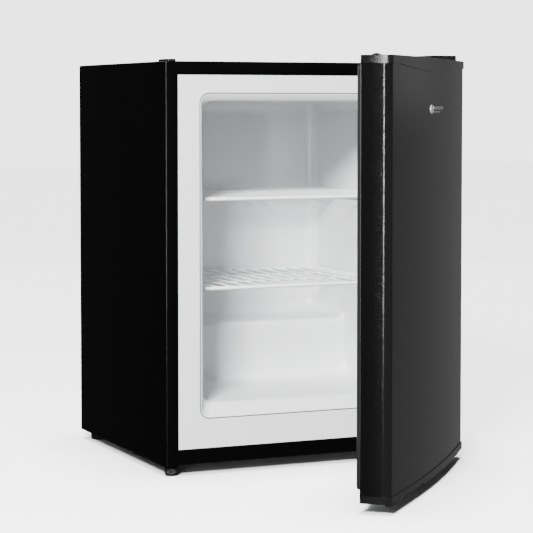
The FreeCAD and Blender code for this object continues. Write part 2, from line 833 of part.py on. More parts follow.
# ---------------------------------------------------------------- hinges
def top_hinge():
    """A stepped steel bracket on the cabinet, its pin, its screws and its cover."""
    left = half - hinge_side - hinge_wide
    right = half - hinge_side
    over = door_high + hinge_lift
    body = new_body("top_hinge_bracket_blank")
    nose = axis_y - 9
    profile = [
        (front + hinge_long, top), (front + hinge_long, top + plate), (front + 6, top + plate),
        (front, over + plate),
        (nose, over + plate), (nose, over), (front + 1, over), (front + 7, top),
    ]
    pad(body, "YZ_Plane", left, [profile], right - left)
    holes = [rod((x, front + y, top - 1), as_size(2.6), as_size(8)) for x, y in hinge_screw_places()]
    pin_hole = rod((axis_x, axis_y, over - 1), pin_size / 2, as_size(10))
    keep(cut(body, holes + [pin_hole]), "top_hinge_bracket")
    pin = rod((axis_x, axis_y, door_high - 12), pin_size / 2, over + plate + 1 - door_high + 12)
    keep(pin, "top_hinge_pin")
    screws = []
    for x, y in hinge_screw_places():
        shank = rod((x, front + y, top - 14), as_size(2), as_size(14) + plate)
        head = rod((x, front + y, top + plate), as_size(4.2), as_size(2.2))
        screws.append(join([shank, head]))
    keep(group(screws), "top_hinge_screws")
    return left, right


def hinge_screw_places():
    return [(half - 37, as_size(18)), (half - 15, as_size(18)), (half - 26, as_size(36))]


def top_hinge_cover(left, right):
    """A moulded cover with one sloping end hides the bracket and reaches over the door."""
    lid = top + cover_rise
    wall = cover_wall
    skirt = door_high + hinge_lift
    rear = front + hinge_long + 6
    nose = axis_y - 12
    start = left - 11
    end = right + 4
    slope = [(start, top), (end, top), (end, lid), (start + cover_ramp, lid), (start, top + 3)]
    body = new_body("hinge_cover")
    pad(body, "XZ_Plane", -rear, [slope], rear - nose)
    inner = [
        (start + wall, top - 1), (end - wall, top - 1), (end - wall, lid - wall),
        (start + cover_ramp + wall * 0.6, lid - wall), (start + wall, top + 3 - wall * 0.4),
    ]
    core = new_body("hinge_cover_core")
    pad(core, "XZ_Plane", -(rear - wall), [inner], rear - nose - wall * 2)
    under = block((start - 1, nose - 1, top - 1), (end + 1, front + 1, skirt))
    keep(cut(body, [core, under]), "top_hinge_cover")


def bottom_hinge():
    """An angle bracket on the front rail carries the lower pin, clear of the door's swing."""
    left = half - low_hinge_left
    right = half - low_hinge_right
    upright_end = half - low_hinge_end
    low = door_low - 0.5 - plate
    face = front - plate
    nose = axis_y - 9
    body = new_body("bottom_hinge_blank")
    arm = [(front, low), (front, low + plate), (nose, low + plate), (nose, low)]
    pad(body, "YZ_Plane", left, [arm], right - left)
    upright = [(front, low), (front, rail_top - 12), (face, rail_top - 12), (face, low)]
    pad(body, "YZ_Plane", left, [upright], upright_end - left)
    holes = [rod((x, face - 1, z), as_size(2.2), as_size(8), "y") for x, z in low_screw_places()]
    pin_hole = rod((axis_x, axis_y, low - 1), pin_size / 2, as_size(6))
    keep(cut(body, holes + [pin_hole]), "bottom_hinge_bracket")
    keep(rod((axis_x, axis_y, low), pin_size / 2, door_low + 12 - low), "bottom_hinge_pin")
    screws = []
    for x, z in low_screw_places():
        shank = rod((x, face, z), as_size(2.2), plate, "y")
        head = rod((x, face - 2, z), as_size(3.8), as_size(2), "y")
        screws.append(join([shank, head]))
    keep(group(screws), "bottom_hinge_screws")


def low_screw_places():
    level = rail_bottom + 5
    return [(half - 47, level), (half - 35, level)]


def hinge_hole_cover():
    """A flat cap over the spare hinge holes, on the left of the top."""
    body = new_body("hinge_hole_cover")
    loop = rounded(6 - half, front + 6, 20 - half, front + 46, as_size(3))
    pad(body, "XY_Plane", top, [loop], as_size(3.5))
    round_edges(body, as_size(1), lambda edge, middle: abs(middle.z - float(top) - 3.5) < 1e-4)
    return keep(body, "hinge_hole_cover")


# ---------------------------------------------------------------- feet
def front_foot(side, name):
    """A levelling foot: a tapered pad, a collar and a stud that screws up into the cabinet."""
    x = side * (half - foot_in)
    y = front + foot_in
    pad_low = taper((x, y, as_size(0)), foot_size / 2 - 1.5, foot_size / 2, as_size(4))
    pad_high = taper((x, y, as_size(4)), foot_size / 2, foot_size / 2 - 2, base - 5)
    collar = rod((x, y, as_size(8)), foot_size / 2 - 4, rail_bottom - 0.4 - 8)
    stud = rod((x, y, as_size(8)), stud_size / 2, as_size(26))
    return keep(join([pad_low, pad_high, collar, stud]), name)


def foot_sockets():
    """Threaded sockets over the front feet."""
    sockets = []
    for side in (-1, 1):
        x = side * (half - foot_in)
        socket = rod((x, front + foot_in, deck), as_size(9), as_size(18))
        bore = rod((x, front + foot_in, deck - 1), stud_size / 2 + running, as_size(22))
        sockets.append(cut(socket, [bore]))
    keep(group(sockets), "front_foot_sockets")


def rear_foot(side, name):
    """A plain rubber foot under the rear corner."""
    x = side * (half - rear_foot_in)
    y = back - rear_foot_in - 2
    radius = rear_foot_size / 2
    low = taper((x, y, as_size(0)), radius - 1.5, radius, as_size(4))
    high = taper((x, y, as_size(4)), radius, radius - 2.5, rail_bottom - 4)
    return keep(join([low, high]), name)


# ---------------------------------------------------------------- cooling machine
def compressor():
    """The sealed compressor on its foot plate, four rubber mounts and bolts."""
    floor = rail_bottom + 1.5 * steel
    lift = floor + grommet_height
    can = new_body("compressor_shell")
    long = shell_long / 2
    wide = shell_wide / 2
    x, y = compressor_x, compressor_y
    loop = rounded(x - long, y - wide, x + long, y + wide, wide * 0.8)
    pad(can, "XY_Plane", lift + 2.5, [loop], shell_tall)
    crown = float(lift) + 2.5 + float(shell_tall)
    round_edges(can, as_size(22), lambda edge, middle: abs(middle.z - crown) < 1e-4)
    keep(can, "compressor_shell")
    feet = new_body("compressor_foot_plate_blank")
    reach_x, reach_y = as_size(84), as_size(48)
    pad(feet, "XY_Plane", lift, [rounded(x - reach_x, y - reach_y, x + reach_x, y + reach_y, as_size(10))],
        as_size(2.5))
    places = compressor_feet_places()
    holes = [rod((px, py, lift - 1), as_size(6), as_size(6)) for px, py in places]
    keep(cut(feet, holes), "compressor_foot_plate")
    mounts = []
    for px, py in places:
        barrel = rod((px, py, floor), as_size(9), lift - floor)
        neck = rod((px, py, lift), as_size(6), as_size(2.5))
        bore = rod((px, py, floor - 1), as_size(4), as_size(20))
        mounts.append(cut(join([barrel, neck]), [bore]))
    keep(group(mounts), "compressor_grommets")
    bolts = []
    for px, py in places:
        shank = rod((px, py, rail_bottom - 1), as_size(4), lift + 2.5 - rail_bottom + 1)
        head = rod((px, py, lift + 2.5), as_size(8), as_size(3))
        bolts.append(join([shank, head]))
    keep(group(bolts), "compressor_bolts")
    box = block((x - long - 34, y - 26, lift + 30), (x - long, y + 26, lift + 84))
    keep(box, "relay_cover")
    return x, y, lift


def cooling_pipes(x, y, lift):
    """Discharge, suction and capillary tubes and the filter drier, in the bay."""
    x, y, lift = float(x), float(y), float(lift)
    wall = float(half - steel)
    front_wall = float(bay_front + steel)
    right = x + float(shell_long) / 2
    size = float(tube_size)
    points = [(right, y - 20, lift + 60), (right + 40, y - 20, lift + 60), (right + 40, y + 30, lift + 80),
              (wall, y + 30, lift + 80)]
    keep(pipe(points, 14, size, "Discharge"), "discharge_pipe")
    points = [(right, y + 10, lift + 40), (right + 22, y + 10, lift + 40), (right + 22, y + 10, lift + 105),
              (right + 22, front_wall, lift + 105)]
    keep(pipe(points, 14, size + 2, "Suction"), "suction_pipe")
    drier_x = -float(half) + 70
    drier = rod((as_size(drier_x), as_size(y), as_size(lift + 10)), as_size(9), as_size(90))
    keep(drier, "filter_drier")
    points = [(drier_x, y, lift + 10), (drier_x, y, lift - 4), (-wall, y, lift - 4)]
    keep(pipe(points, 8, 5, "Warm"), "condenser_outlet_pipe")
    points = [(drier_x, y, lift + 100), (drier_x, y, lift + 118), (drier_x, front_wall, lift + 118)]
    keep(pipe(points, 10, 3, "Capillary"), "capillary_tube")


def thermostat():
    """The thermostat sits on a bracket at the rear, with its knob facing backwards."""
    x = knob_in - half
    z = base + knob_level
    rear = back - 16
    plate_low = (x - 26, rear - steel * 1.5, rail_bottom + 1.5 * steel)
    bracket = block(plate_low, (x + 26, rear, z + 28))
    hole = rod((x, rear - 6, z), as_size(4.5), as_size(12), "y")
    keep(cut(bracket, [hole]), "thermostat_bracket")
    body = block((x - 18, rear - 24, z - 20), (x + 18, rear - steel * 1.5, z + 20))
    keep(cut(body, [rod((x, rear - 12, z), as_size(4.5), as_size(14), "y")]), "thermostat_body")
    grip = rod((x, rear + 0.5, z), knob_size / 2, as_size(11), "y")
    bar = block((x - 2.2, rear + 8, z - 13), (x + 2.2, rear + 15, z + 13))
    spindle = rod((x, rear - 10, z), as_size(4), as_size(12), "y")
    keep(join([grip, bar, spindle]), "thermostat_knob")


def cord_gland():
    """The ring where the mains lead enters the bay; the lead itself is not part of this model."""
    x = half - gland_in
    z = base + gland_level
    holder = block((x - 14, back - 4 - steel, rail_bottom + 1.5 * steel), (x + 14, back - 4, z + 14))
    bore = rod((x, back - 8, z), as_size(6), as_size(12), "y")
    keep(cut(holder, [bore]), "cord_bracket")
    ring = rod((x, back - 9, z), as_size(6), as_size(9), "y")
    collar = rod((x, back - 4, z), as_size(9), as_size(4), "y")
    hole = rod((x, back - 12, z), as_size(3.4), as_size(20), "y")
    keep(cut(join([ring, collar]), [hole]), "mains_cord_gland")


# ---------------------------------------------------------------- build
def build():
    outer_wrapper()
    front_bottom_rail()
    back_panel()
    bay_panel()
    bottom_plate()
    compressor_tray()
    inner_liner()
    tubes = [
        evaporator_tube(),
        condenser_coil(-1, "condenser_coil_left"),
        condenser_coil(1, "condenser_coil_right"),
    ]
    insulation_foam(tubes)
    wire_shelf(shelf_low, "shelf_lower")
    wire_shelf(shelf_high, "shelf_top")
    door_outer_panel()
    door_caps()
    hinge_bushes()
    door_hole_plug()
    core = door_liner()
    door_foam(core)
    door_gasket()
    door_badge()
    top_hinge_cover(*top_hinge())
    bottom_hinge()
    hinge_hole_cover()
    front_foot(-1, "front_foot_left")
    front_foot(1, "front_foot_right")
    foot_sockets()
    rear_foot(-1, "rear_foot_left")
    rear_foot(1, "rear_foot_right")
    cooling_pipes(*compressor())
    thermostat()
    cord_gland()


def check_and_write():
    doc.recompute()
    for item in doc.Objects:
        if "Invalid" in item.State or "Error" in item.State:
            raise RuntimeError(f"{item.Name} ({item.Label}) failed: {item.State}")
    os.makedirs("parts", exist_ok=True)
    for item in pieces:
        shape = item.Shape
        if shape.isNull() or not shape.isValid():
            raise RuntimeError(f"{item.Label} has a bad shape")
        shape.exportStep(os.path.join("parts", f"{item.Label}.step"))
        print(f"{item.Label}: {len(shape.Solids)} solid(s), {shape.Volume / 1000:.1f} cm3")
    print(f"{len(pieces)} pieces")


build()
check_and_write()
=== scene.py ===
# %% [markdown]
# # A table-top freezer, dressed in Blender
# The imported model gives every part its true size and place. This lesson gives the parts their looks:
# folded black sheet, a bowed stippled door, a formed white liner, coated wire shelves and a magnetic seal.
# Each cell makes one thing and prints what it made. Lengths are in metres, in the model's own frame.

# %% Load the frame
import json
import math
import bmesh
import bpy
from mathutils import Matrix, Vector

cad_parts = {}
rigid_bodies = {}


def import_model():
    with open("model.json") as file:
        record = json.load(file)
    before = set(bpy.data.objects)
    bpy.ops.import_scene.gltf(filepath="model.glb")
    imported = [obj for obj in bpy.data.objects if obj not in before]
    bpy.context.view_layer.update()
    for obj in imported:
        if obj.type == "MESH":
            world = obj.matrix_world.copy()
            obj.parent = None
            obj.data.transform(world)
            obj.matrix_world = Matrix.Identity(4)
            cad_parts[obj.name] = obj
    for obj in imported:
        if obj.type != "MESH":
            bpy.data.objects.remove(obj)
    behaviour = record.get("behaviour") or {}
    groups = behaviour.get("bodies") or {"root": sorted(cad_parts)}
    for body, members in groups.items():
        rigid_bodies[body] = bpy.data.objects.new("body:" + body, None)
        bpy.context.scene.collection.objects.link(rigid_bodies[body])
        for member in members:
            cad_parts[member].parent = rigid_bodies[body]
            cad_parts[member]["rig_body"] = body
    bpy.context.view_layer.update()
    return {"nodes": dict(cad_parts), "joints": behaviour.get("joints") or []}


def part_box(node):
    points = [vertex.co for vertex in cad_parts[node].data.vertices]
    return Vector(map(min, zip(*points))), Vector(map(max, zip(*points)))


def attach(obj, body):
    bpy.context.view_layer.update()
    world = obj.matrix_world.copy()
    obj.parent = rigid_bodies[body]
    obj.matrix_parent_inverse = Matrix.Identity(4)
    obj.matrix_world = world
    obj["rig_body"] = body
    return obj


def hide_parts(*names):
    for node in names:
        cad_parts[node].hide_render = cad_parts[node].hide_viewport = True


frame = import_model()
MM = 0.001

# %% [markdown]
# ## The sizes that the looks are worked out from
# The cabinet, the rail, the shelves and the hinge axis are read from the boxes of the CAD nodes and from
# the hinge joint, so the looks follow the model there. A box can't tell what happens inside it, such as how
# thick the wall beside the mouth is, so those sizes are given by name.

# %% Sizes from the frame
cab_low, cab_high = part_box("outer_wrapper")
rail_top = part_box("front_bottom_rail")[1].z
hinge = next(j for j in frame["joints"] if j["name"] == "door_hinge")
AXIS = Vector((hinge["pos_m"][0], hinge["pos_m"][1], 0))
OPEN = math.radians(-hinge["range_deg"][0])
HALF = cab_high.x
FRONT = cab_low.y
BACK = cab_high.y
WALL = 58.4 * MM
FUNNEL = 11 * MM
MOUTH_X = HALF - WALL
CAVITY_X = MOUTH_X - FUNNEL
SWING = Matrix.Translation(AXIS) @ Matrix.Rotation(OPEN, 4, "Z") @ Matrix.Translation(-AXIS)
print(f"cabinet {HALF * 2:.3f} x {BACK - FRONT:.3f} m, rail up to {rail_top:.4f} m")
print(f"door stands {math.degrees(OPEN):.1f} degrees open")

# %% [markdown]
# ## Camera
# A long lens from the front left, at about the height of the cabinet's top. A long lens keeps the sides
# almost parallel. Most of the downward look is a small pitch, and a small lens shift does the rest, so
# that the upright edges stay upright.

# %% Camera
camera = bpy.data.objects.new("camera", bpy.data.cameras.new("camera"))
bpy.context.collection.objects.link(camera)
bpy.context.scene.camera = camera
CAMERA_YAW = math.radians(24.042)
CAMERA_PITCH = math.radians(3.127)
CAMERA_ASIDE, CAMERA_AWAY, CAMERA_UP = 1.079, 2.791, 0.5497
camera.location = (-HALF - CAMERA_ASIDE, FRONT - CAMERA_AWAY, cab_low.z + CAMERA_UP)
camera.rotation_euler = (math.pi / 2 - CAMERA_PITCH, 0, -CAMERA_YAW)
camera.data.sensor_width = 36
camera.data.lens = 134.37
camera.data.shift_y = -0.10
camera.data.clip_end = 60
print("camera at", tuple(round(c, 3) for c in camera.location))

# %% [markdown]
# ## Floor and light
# The floor and the sky are pale and plain. A black object shows only what it reflects, so the light is
# placed for its reflections. The key stands high in front on the left and fills the white inside. A tall
# strip below it draws a bright line down each rolled edge, and a low panel lifts the ceiling of the cavity.
# A weak card behind on the right shows the bow of the door, a smaller one adds a glow at its top, and a
# third shows the back. A sun that lights only the floor keeps it as pale as the sky. The floor is left out
# of reflections and blocks no light, so the panels reach below it and light the door to its foot.


# %% Floor and light
def stage_floor():
    mesh = bpy.data.meshes.new("floor")
    reach = 14
    mesh.from_pydata([(-reach, -reach, 0), (reach, -reach, 0), (reach, reach, 0), (-reach, reach, 0)],
                     [], [(0, 1, 2, 3)])
    floor = bpy.data.objects.new("floor", mesh)
    bpy.context.collection.objects.link(floor)
    floor.visible_glossy = False
    floor.visible_diffuse = False
    floor.visible_shadow = False
    return floor


def panel_light(name, place, aim, size, power):
    """A rectangular soft light that looks at a point."""
    lamp = bpy.data.lights.new(name, "AREA")
    lamp.shape = "RECTANGLE"
    lamp.size, lamp.size_y = size
    lamp.energy = power
    holder = bpy.data.objects.new(name, lamp)
    bpy.context.collection.objects.link(holder)
    holder.location = place
    holder.rotation_euler = (Vector(aim) - Vector(place)).to_track_quat("-Z", "Y").to_euler()
    holder.visible_camera = False


def overhead_sun(strength):
    """Lights only the floor, evenly as far as the eye goes."""
    lamp = bpy.data.lights.new("overhead", "SUN")
    lamp.energy = strength
    lamp.angle = math.radians(25)
    holder = bpy.data.objects.new("overhead", lamp)
    bpy.context.collection.objects.link(holder)
    lit = bpy.data.collections.new("lit_from_above")
    lit.objects.link(floor)
    holder.light_linking.receiver_collection = lit


floor = stage_floor()
middle = (0, -0.2, 0.35)
panel_light("key", (-2.0, -2.85, 2.1), middle, (0.8, 0.8), 575)
panel_light("corner_strip", (-2.26, -2.92, 0.55), (-0.07, -0.58, 0.4), (0.2, 1.1), 40)
panel_light("low_fill", (-0.95, -2.1, 0.04), (0, -0.2, 0.5), (1.6, 1.2), 1.5)
panel_light("door_card", (3.2, 1.4, 0.3), (0.1, -0.4, 0.3), (3.0, 3.0), 3.6)
panel_light("top_glow", (2.7, 0.62, 1.0), (-0.05, -0.55, 0.55), (1.2, 0.9), 0.5)
panel_light("back_card", (1.3, 3.5, 1.5), (0, 0, 0.3), (2.0, 1.6), 14)
overhead_sun(12)
print("lights: key, corner_strip, low_fill, door_card, top_glow, back_card, overhead")


# %% [markdown]
# ## Shader and geometry maths
# A node tree is easier to read as a sum than as a row of links. `Wire` holds one output socket and turns
# + - * into Math nodes. `Graph.add` makes any other node: its kind, its settings, and its sockets.

# %% Wire and Graph
class Wire:
    """One output of a node, so that a pattern can be written as a sum."""

    def __init__(self, graph, socket):
        self.graph = graph
        self.socket = socket

    def math(self, operation, other, swapped=False):
        pair = (other, self) if swapped else (self, other)
        return self.graph.add("ShaderNodeMath", {"operation": operation}, {0: pair[0], 1: pair[1]})

    def __add__(self, other):
        return self.math("ADD", other)

    def __radd__(self, other):
        return self.math("ADD", other, True)

    def __sub__(self, other):
        return self.math("SUBTRACT", other)

    def __rsub__(self, other):
        return self.math("SUBTRACT", other, True)

    def __mul__(self, other):
        return self.math("MULTIPLY", other)


class Graph:
    """A node tree that is written in expressions."""

    def __init__(self, tree):
        self.tree = tree

    def add(self, kind, settings=None, sockets=None, out=0):
        """Makes a node; settings are set first, then the values or links of its sockets."""
        node = self.tree.nodes.new(kind)
        for name, value in (settings or {}).items():
            setattr(node, name, value)
        for name, value in (sockets or {}).items():
            self.plug(node, name, value)
        return Wire(self, node.outputs[out])

    def plug(self, node, name, value):
        if isinstance(value, (list, tuple)) and value and isinstance(value[0], Wire):
            for one in value:
                self.tree.links.new(one.socket, node.inputs[name])
        elif isinstance(value, Wire):
            self.tree.links.new(value.socket, node.inputs[name])
        else:
            node.inputs[name].default_value = value


def paint(name, colour, roughness, metallic=0.0, specular=0.5, coat=0.0, pattern=None):
    """A material on Principled BSDF; `pattern` adds what changes over the surface."""
    material = bpy.data.materials.new(name)
    material.use_nodes = True
    tree = material.node_tree
    shader = tree.nodes["Principled BSDF"]
    shader.inputs["Base Color"].default_value = (*colour, 1)
    shader.inputs["Roughness"].default_value = roughness
    shader.inputs["Metallic"].default_value = metallic
    shader.inputs["Specular IOR Level"].default_value = specular
    shader.inputs["Coat Weight"].default_value = coat
    if pattern:
        graph = Graph(tree)
        place = graph.add("ShaderNodeTexCoord", out=3)
        for socket, wire in pattern(graph, place, colour, roughness).items():
            tree.links.new(wire.socket, shader.inputs[socket])
    return material


print("node helpers ready")


# %% [markdown]
# ## Patterns
# Four patterns serve every finish. `grained` is a fine bump with a slow change of gloss and tone, as
# moulded plastic and sprayed paint have. `stippled` is the embossed sheet of the door, `spangled` is
# zinc-coated sheet, and `drawn` is bare metal.

# %% Patterns
def noise(graph, place, scale, detail=2.0, rough=0.5):
    sockets = {"Vector": place, "Scale": scale, "Detail": detail, "Roughness": rough}
    return graph.add("ShaderNodeTexNoise", None, sockets)


def bump(graph, height, strength, distance):
    sockets = {"Height": height, "Strength": strength, "Distance": distance}
    return graph.add("ShaderNodeBump", None, sockets)


def shade(graph, colour, factor):
    """The colour, made lighter or darker by a wire round 1."""
    grey = graph.add("ShaderNodeCombineColor", None, {0: factor, 1: factor, 2: factor})
    base = (*colour, 1)
    return graph.add("ShaderNodeMix",
                     {"data_type": "RGBA", "blend_type": "MULTIPLY", "clamp_result": False},
                     {0: 1.0, 6: base, 7: grey}, out=2)


def grained(grain_scale, grain_depth, gloss_change=0.06, tone_change=0.05):
    """A pattern of fine grain, with a slow change of gloss and tone."""
    def pattern(graph, place, colour, roughness):
        slow = noise(graph, place, 5.0, 4.0)
        fine = noise(graph, place, grain_scale, 2.0, 0.6)
        return {
            "Base Color": shade(graph, colour, 1 + (slow - 0.5) * tone_change * 2),
            "Roughness": roughness + (slow - 0.5) * gloss_change * 2,
            "Normal": bump(graph, fine, 1.0, grain_depth),
        }
    return pattern


def stippled(graph, place, colour, roughness):
    """An embossed sheet: rounded pimples about a millimetre apart, of slightly uneven tone and gloss."""
    cells = graph.add("ShaderNodeTexVoronoi", {"feature": "SMOOTH_F1"},
                      {"Vector": place, "Scale": 880.0, "Smoothness": 0.6})
    fine = noise(graph, place, 560.0, 3.0, 0.6)
    slow = noise(graph, place, 6.0, 3.0)
    height = (1 - cells) * 0.5 + fine * 0.9
    speck = 0.75 + fine * 0.5 + (slow - 0.5) * 0.1
    return {
        "Base Color": shade(graph, colour, speck),
        "Roughness": roughness + (fine - 0.5) * 0.4 + (slow - 0.5) * 0.08,
        "Normal": bump(graph, height, 0.55, 0.0002),
    }


def spangled(graph, place, colour, roughness):
    """Zinc-coated sheet: large crystals that differ a little in tone and gloss."""
    cells = graph.add("ShaderNodeTexVoronoi", {"feature": "F1"}, {"Vector": place, "Scale": 70.0}, out=1)
    tone = graph.add("ShaderNodeSeparateColor", None, {0: cells})
    fine = noise(graph, place, 300.0)
    return {
        "Base Color": shade(graph, colour, 0.86 + tone * 0.28),
        "Roughness": roughness + (tone - 0.5) * 0.16 + (fine - 0.5) * 0.1,
        "Normal": bump(graph, fine, 0.3, 0.00008),
    }


def drawn(graph, place, colour, roughness):
    """Drawn or turned metal: fine streaks and a few dull marks."""
    stretched = graph.add("ShaderNodeMapping", None, {"Vector": place, "Scale": (1.0, 1.0, 14.0)})
    streaks = noise(graph, stretched, 220.0, 3.0)
    marks = noise(graph, place, 28.0, 5.0, 0.65)
    return {
        "Base Color": shade(graph, colour, 0.85 + marks * 0.3),
        "Roughness": roughness + (streaks - 0.5) * 0.2 + (marks - 0.5) * 0.15,
        "Normal": bump(graph, streaks, 0.25, 0.00006),
    }


print("patterns: grained, stippled, spangled, drawn")

# %% [markdown]
# ## Finishes
# Near-black paint must be truly dark: its colour is under one percent, and what shows is its gloss. The
# white plastic is a little grey and a little blue, as formed polystyrene is.

# %% Finishes
black_satin = paint("black_satin", (0.0008, 0.0008, 0.0009), 0.2, specular=0.4,
                    pattern=grained(420.0, 0.00006, 0.05, 0.1))
door_sheet = paint("door_sheet", (0.0022, 0.0022, 0.0023), 0.09, specular=0.5, pattern=stippled)
cap_plastic = paint("cap_plastic", (0.0035, 0.0035, 0.0037), 0.12, specular=0.5,
                    pattern=grained(1500.0, 0.00005, 0.05, 0.08))
white_plastic = paint("white_plastic", (0.69, 0.70, 0.71), 0.32, specular=0.45,
                      pattern=grained(160.0, 0.00005, 0.06, 0.012))
seal_rubber = paint("seal_rubber", (0.010, 0.010, 0.0105), 0.38, specular=0.45,
                    pattern=grained(900.0, 0.00008, 0.08, 0.12))
shelf_coat = paint("shelf_coat", (0.82, 0.83, 0.84), 0.28, specular=0.5, coat=0.2,
                   pattern=grained(600.0, 0.00006, 0.06, 0.02))
bright_zinc = paint("bright_zinc", (0.62, 0.62, 0.63), 0.32, metallic=1.0, pattern=drawn)
zinc_sheet = paint("zinc_sheet", (0.42, 0.43, 0.44), 0.45, metallic=1.0, pattern=spangled)
machine_black = paint("machine_black", (0.008, 0.008, 0.008), 0.24, specular=0.5, coat=0.3,
                      pattern=grained(260.0, 0.00012, 0.08, 0.1))
copper = paint("copper", (0.66, 0.29, 0.17), 0.3, metallic=1.0, pattern=drawn)
black_rubber = paint("black_rubber", (0.012, 0.012, 0.012), 0.7, specular=0.35,
                     pattern=grained(700.0, 0.00012, 0.08, 0.12))
black_plastic = paint("black_plastic", (0.005, 0.005, 0.0053), 0.38, specular=0.4,
                      pattern=grained(1200.0, 0.00006, 0.06, 0.1))
# Dark grey painted into the groove round the liner's mouth: painted shade in the recess, not a colour of
# the white plastic.
groove_painted_shade = paint("groove_painted_shade", (0.10, 0.105, 0.115), 0.6, specular=0.2,
                  pattern=grained(500.0, 0.00005, 0.05, 0.1))
foam = paint("foam", (0.62, 0.50, 0.28), 0.9, specular=0.2, pattern=grained(260.0, 0.0006, 0.05, 0.12))
badge_silver = paint("badge_silver", (0.80, 0.80, 0.81), 0.3, metallic=0.2, pattern=drawn)
pale_floor = paint("pale_floor", (0.84, 0.84, 0.84), 0.7, specular=0.2,
                   pattern=grained(60.0, 0.0001, 0.05, 0.01))
floor.data.materials.append(pale_floor)
print("finishes:", len(bpy.data.materials))


# %% [markdown]
# ### The sky
# The camera sees a plain pale sky. Light and reflections get a dim one instead, a little lighter towards
# the right, because black paint would turn grey under a white sky.

# %% Sky
SEEN_SKY = 3.3
DIM_SKY = 0.035
LIGHTER_RIGHT = 0.03


def sky():
    world = bpy.data.worlds.new("sky")
    world.use_nodes = True
    bpy.context.scene.world = world
    graph = Graph(world.node_tree)
    shader = world.node_tree.nodes["Background"]
    seen = graph.add("ShaderNodeLightPath")
    way = graph.add("ShaderNodeTexCoord")
    right = graph.add("ShaderNodeSeparateXYZ", None, {0: way})
    dim = DIM_SKY + right * LIGHTER_RIGHT
    strength = seen * SEEN_SKY + (1 - seen) * dim
    graph.plug(shader, "Color", (1, 1, 1, 1))
    graph.plug(shader, "Strength", strength)


sky()
print("sky set")


# %% [markdown]
# ## Making meshes
# Most parts of a freezer are made by one of three moves: a folded or moulded outline that is carried
# along a line, a soft ring that is lofted through sections, or a plain solid whose edges are softened.
# These helpers do the three moves.

# %% Mesh helpers
CREASE = 35


def new_object(name, mesh, material):
    piece = bpy.data.objects.new(name, mesh)
    bpy.context.collection.objects.link(piece)
    mesh.materials.append(material)
    return piece


def mesh_from(name, build, material):
    """Makes an object from a function that fills a bmesh."""
    shape = bmesh.new()
    build(shape)
    mesh = bpy.data.meshes.new(name)
    shape.to_mesh(mesh)
    shape.free()
    return new_object(name, mesh, material)


def soften(piece, width, segments=3, angle=CREASE):
    """Rounds the edges that are sharper than an angle, in degrees, and shades the rest smooth."""
    for face in piece.data.polygons:
        face.use_smooth = True
    bevel = piece.modifiers.new("round_edges", "BEVEL")
    bevel.width = width
    bevel.segments = segments
    bevel.limit_method = "ANGLE"
    bevel.angle_limit = math.radians(angle)
    bevel.use_clamp_overlap = True
    bevel.harden_normals = False
    normals = piece.modifiers.new("even_normals", "WEIGHTED_NORMAL")
    normals.keep_sharp = True
    return piece


def bake(piece):
    """Turns a piece and its modifiers into one plain mesh."""
    graph = bpy.context.evaluated_depsgraph_get()
    mesh = bpy.data.meshes.new_from_object(piece.evaluated_get(graph))
    old = piece.data
    piece.modifiers.clear()
    piece.data = mesh
    bpy.data.meshes.remove(old)


def carry(piece, node):
    """Puts a piece in the place of a CAD node, on that node's body."""
    home = frame["nodes"][node]["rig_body"]
    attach(piece, home)
    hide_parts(node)
    print(f"{piece.name}: {len(piece.data.polygons)} faces, on {home}")


def dress(node, material, width, segments=2):
    """A softened copy of a CAD node: merged, cleared of needless edges, its corners rounded."""
    shape = bmesh.new()
    shape.from_mesh(frame["nodes"][node].data)
    bmesh.ops.remove_doubles(shape, verts=shape.verts, dist=2e-6)
    bmesh.ops.dissolve_limit(shape, angle_limit=math.radians(0.6), verts=shape.verts, edges=shape.edges)
    mesh = bpy.data.meshes.new(node + "_dressed")
    shape.to_mesh(mesh)
    shape.free()
    piece = new_object(node + "_dressed", mesh, material)
    if width:
        soften(piece, width, segments)
    else:
        for face in mesh.polygons:
            face.use_smooth = True
        mesh.set_sharp_from_angle(angle=math.radians(CREASE))
    return piece


def path_with_bends(corners, bends, steps=6):
    """A 2-D path whose corners are rounded by the given radii."""
    out = [Vector(corners[0])]
    for before, corner, after, bend in zip(corners, corners[1:], corners[2:], bends):
        into = (Vector(before) - Vector(corner)).normalized()
        away = (Vector(after) - Vector(corner)).normalized()
        half_angle = into.angle(away) / 2
        back_off = bend / math.tan(half_angle)
        centre = Vector(corner) + (into + away).normalized() * (bend / math.sin(half_angle))
        start = Vector(corner) + into * back_off - centre
        sweep = math.pi - 2 * half_angle
        turn = 1 if into.x * away.y - into.y * away.x < 0 else -1
        for k in range(steps + 1):
            out.append(centre + Matrix.Rotation(turn * sweep * k / steps, 2) @ start)
    out.append(Vector(corners[-1]))
    return out


def sheet_along(shape, line, low, high, rows):
    """Faces that stand on a line, from one height to another."""
    levels = [low + (high - low) * k / rows for k in range(rows + 1)]
    grid = [[shape.verts.new((p[0], p[1], z)) for p in line] for z in levels]
    for lower, upper in zip(grid, grid[1:]):
        for k in range(len(line) - 1):
            shape.faces.new((lower[k], lower[k + 1], upper[k + 1], upper[k]))


def loft(shape, rings, cap_first=False, cap_last=False):
    """Faces between closed rings of equal count."""
    made = [[shape.verts.new(p) for p in ring] for ring in rings]
    count = len(made[0])
    for inner, outer in zip(made, made[1:]):
        for k in range(count):
            shape.faces.new((inner[k], inner[(k + 1) % count], outer[(k + 1) % count], outer[k]))
    if cap_first:
        shape.faces.new(made[0][::-1])
    if cap_last:
        shape.faces.new(made[-1])


print("mesh helpers ready")

# %% [markdown]
# ## Rings
# A formed liner, a seal and a pressed can are all soft rectangles that follow each other. `soft_ring` gives
# one of them, and `inset_ring` gives the same one moved inward. `loft` joins them.

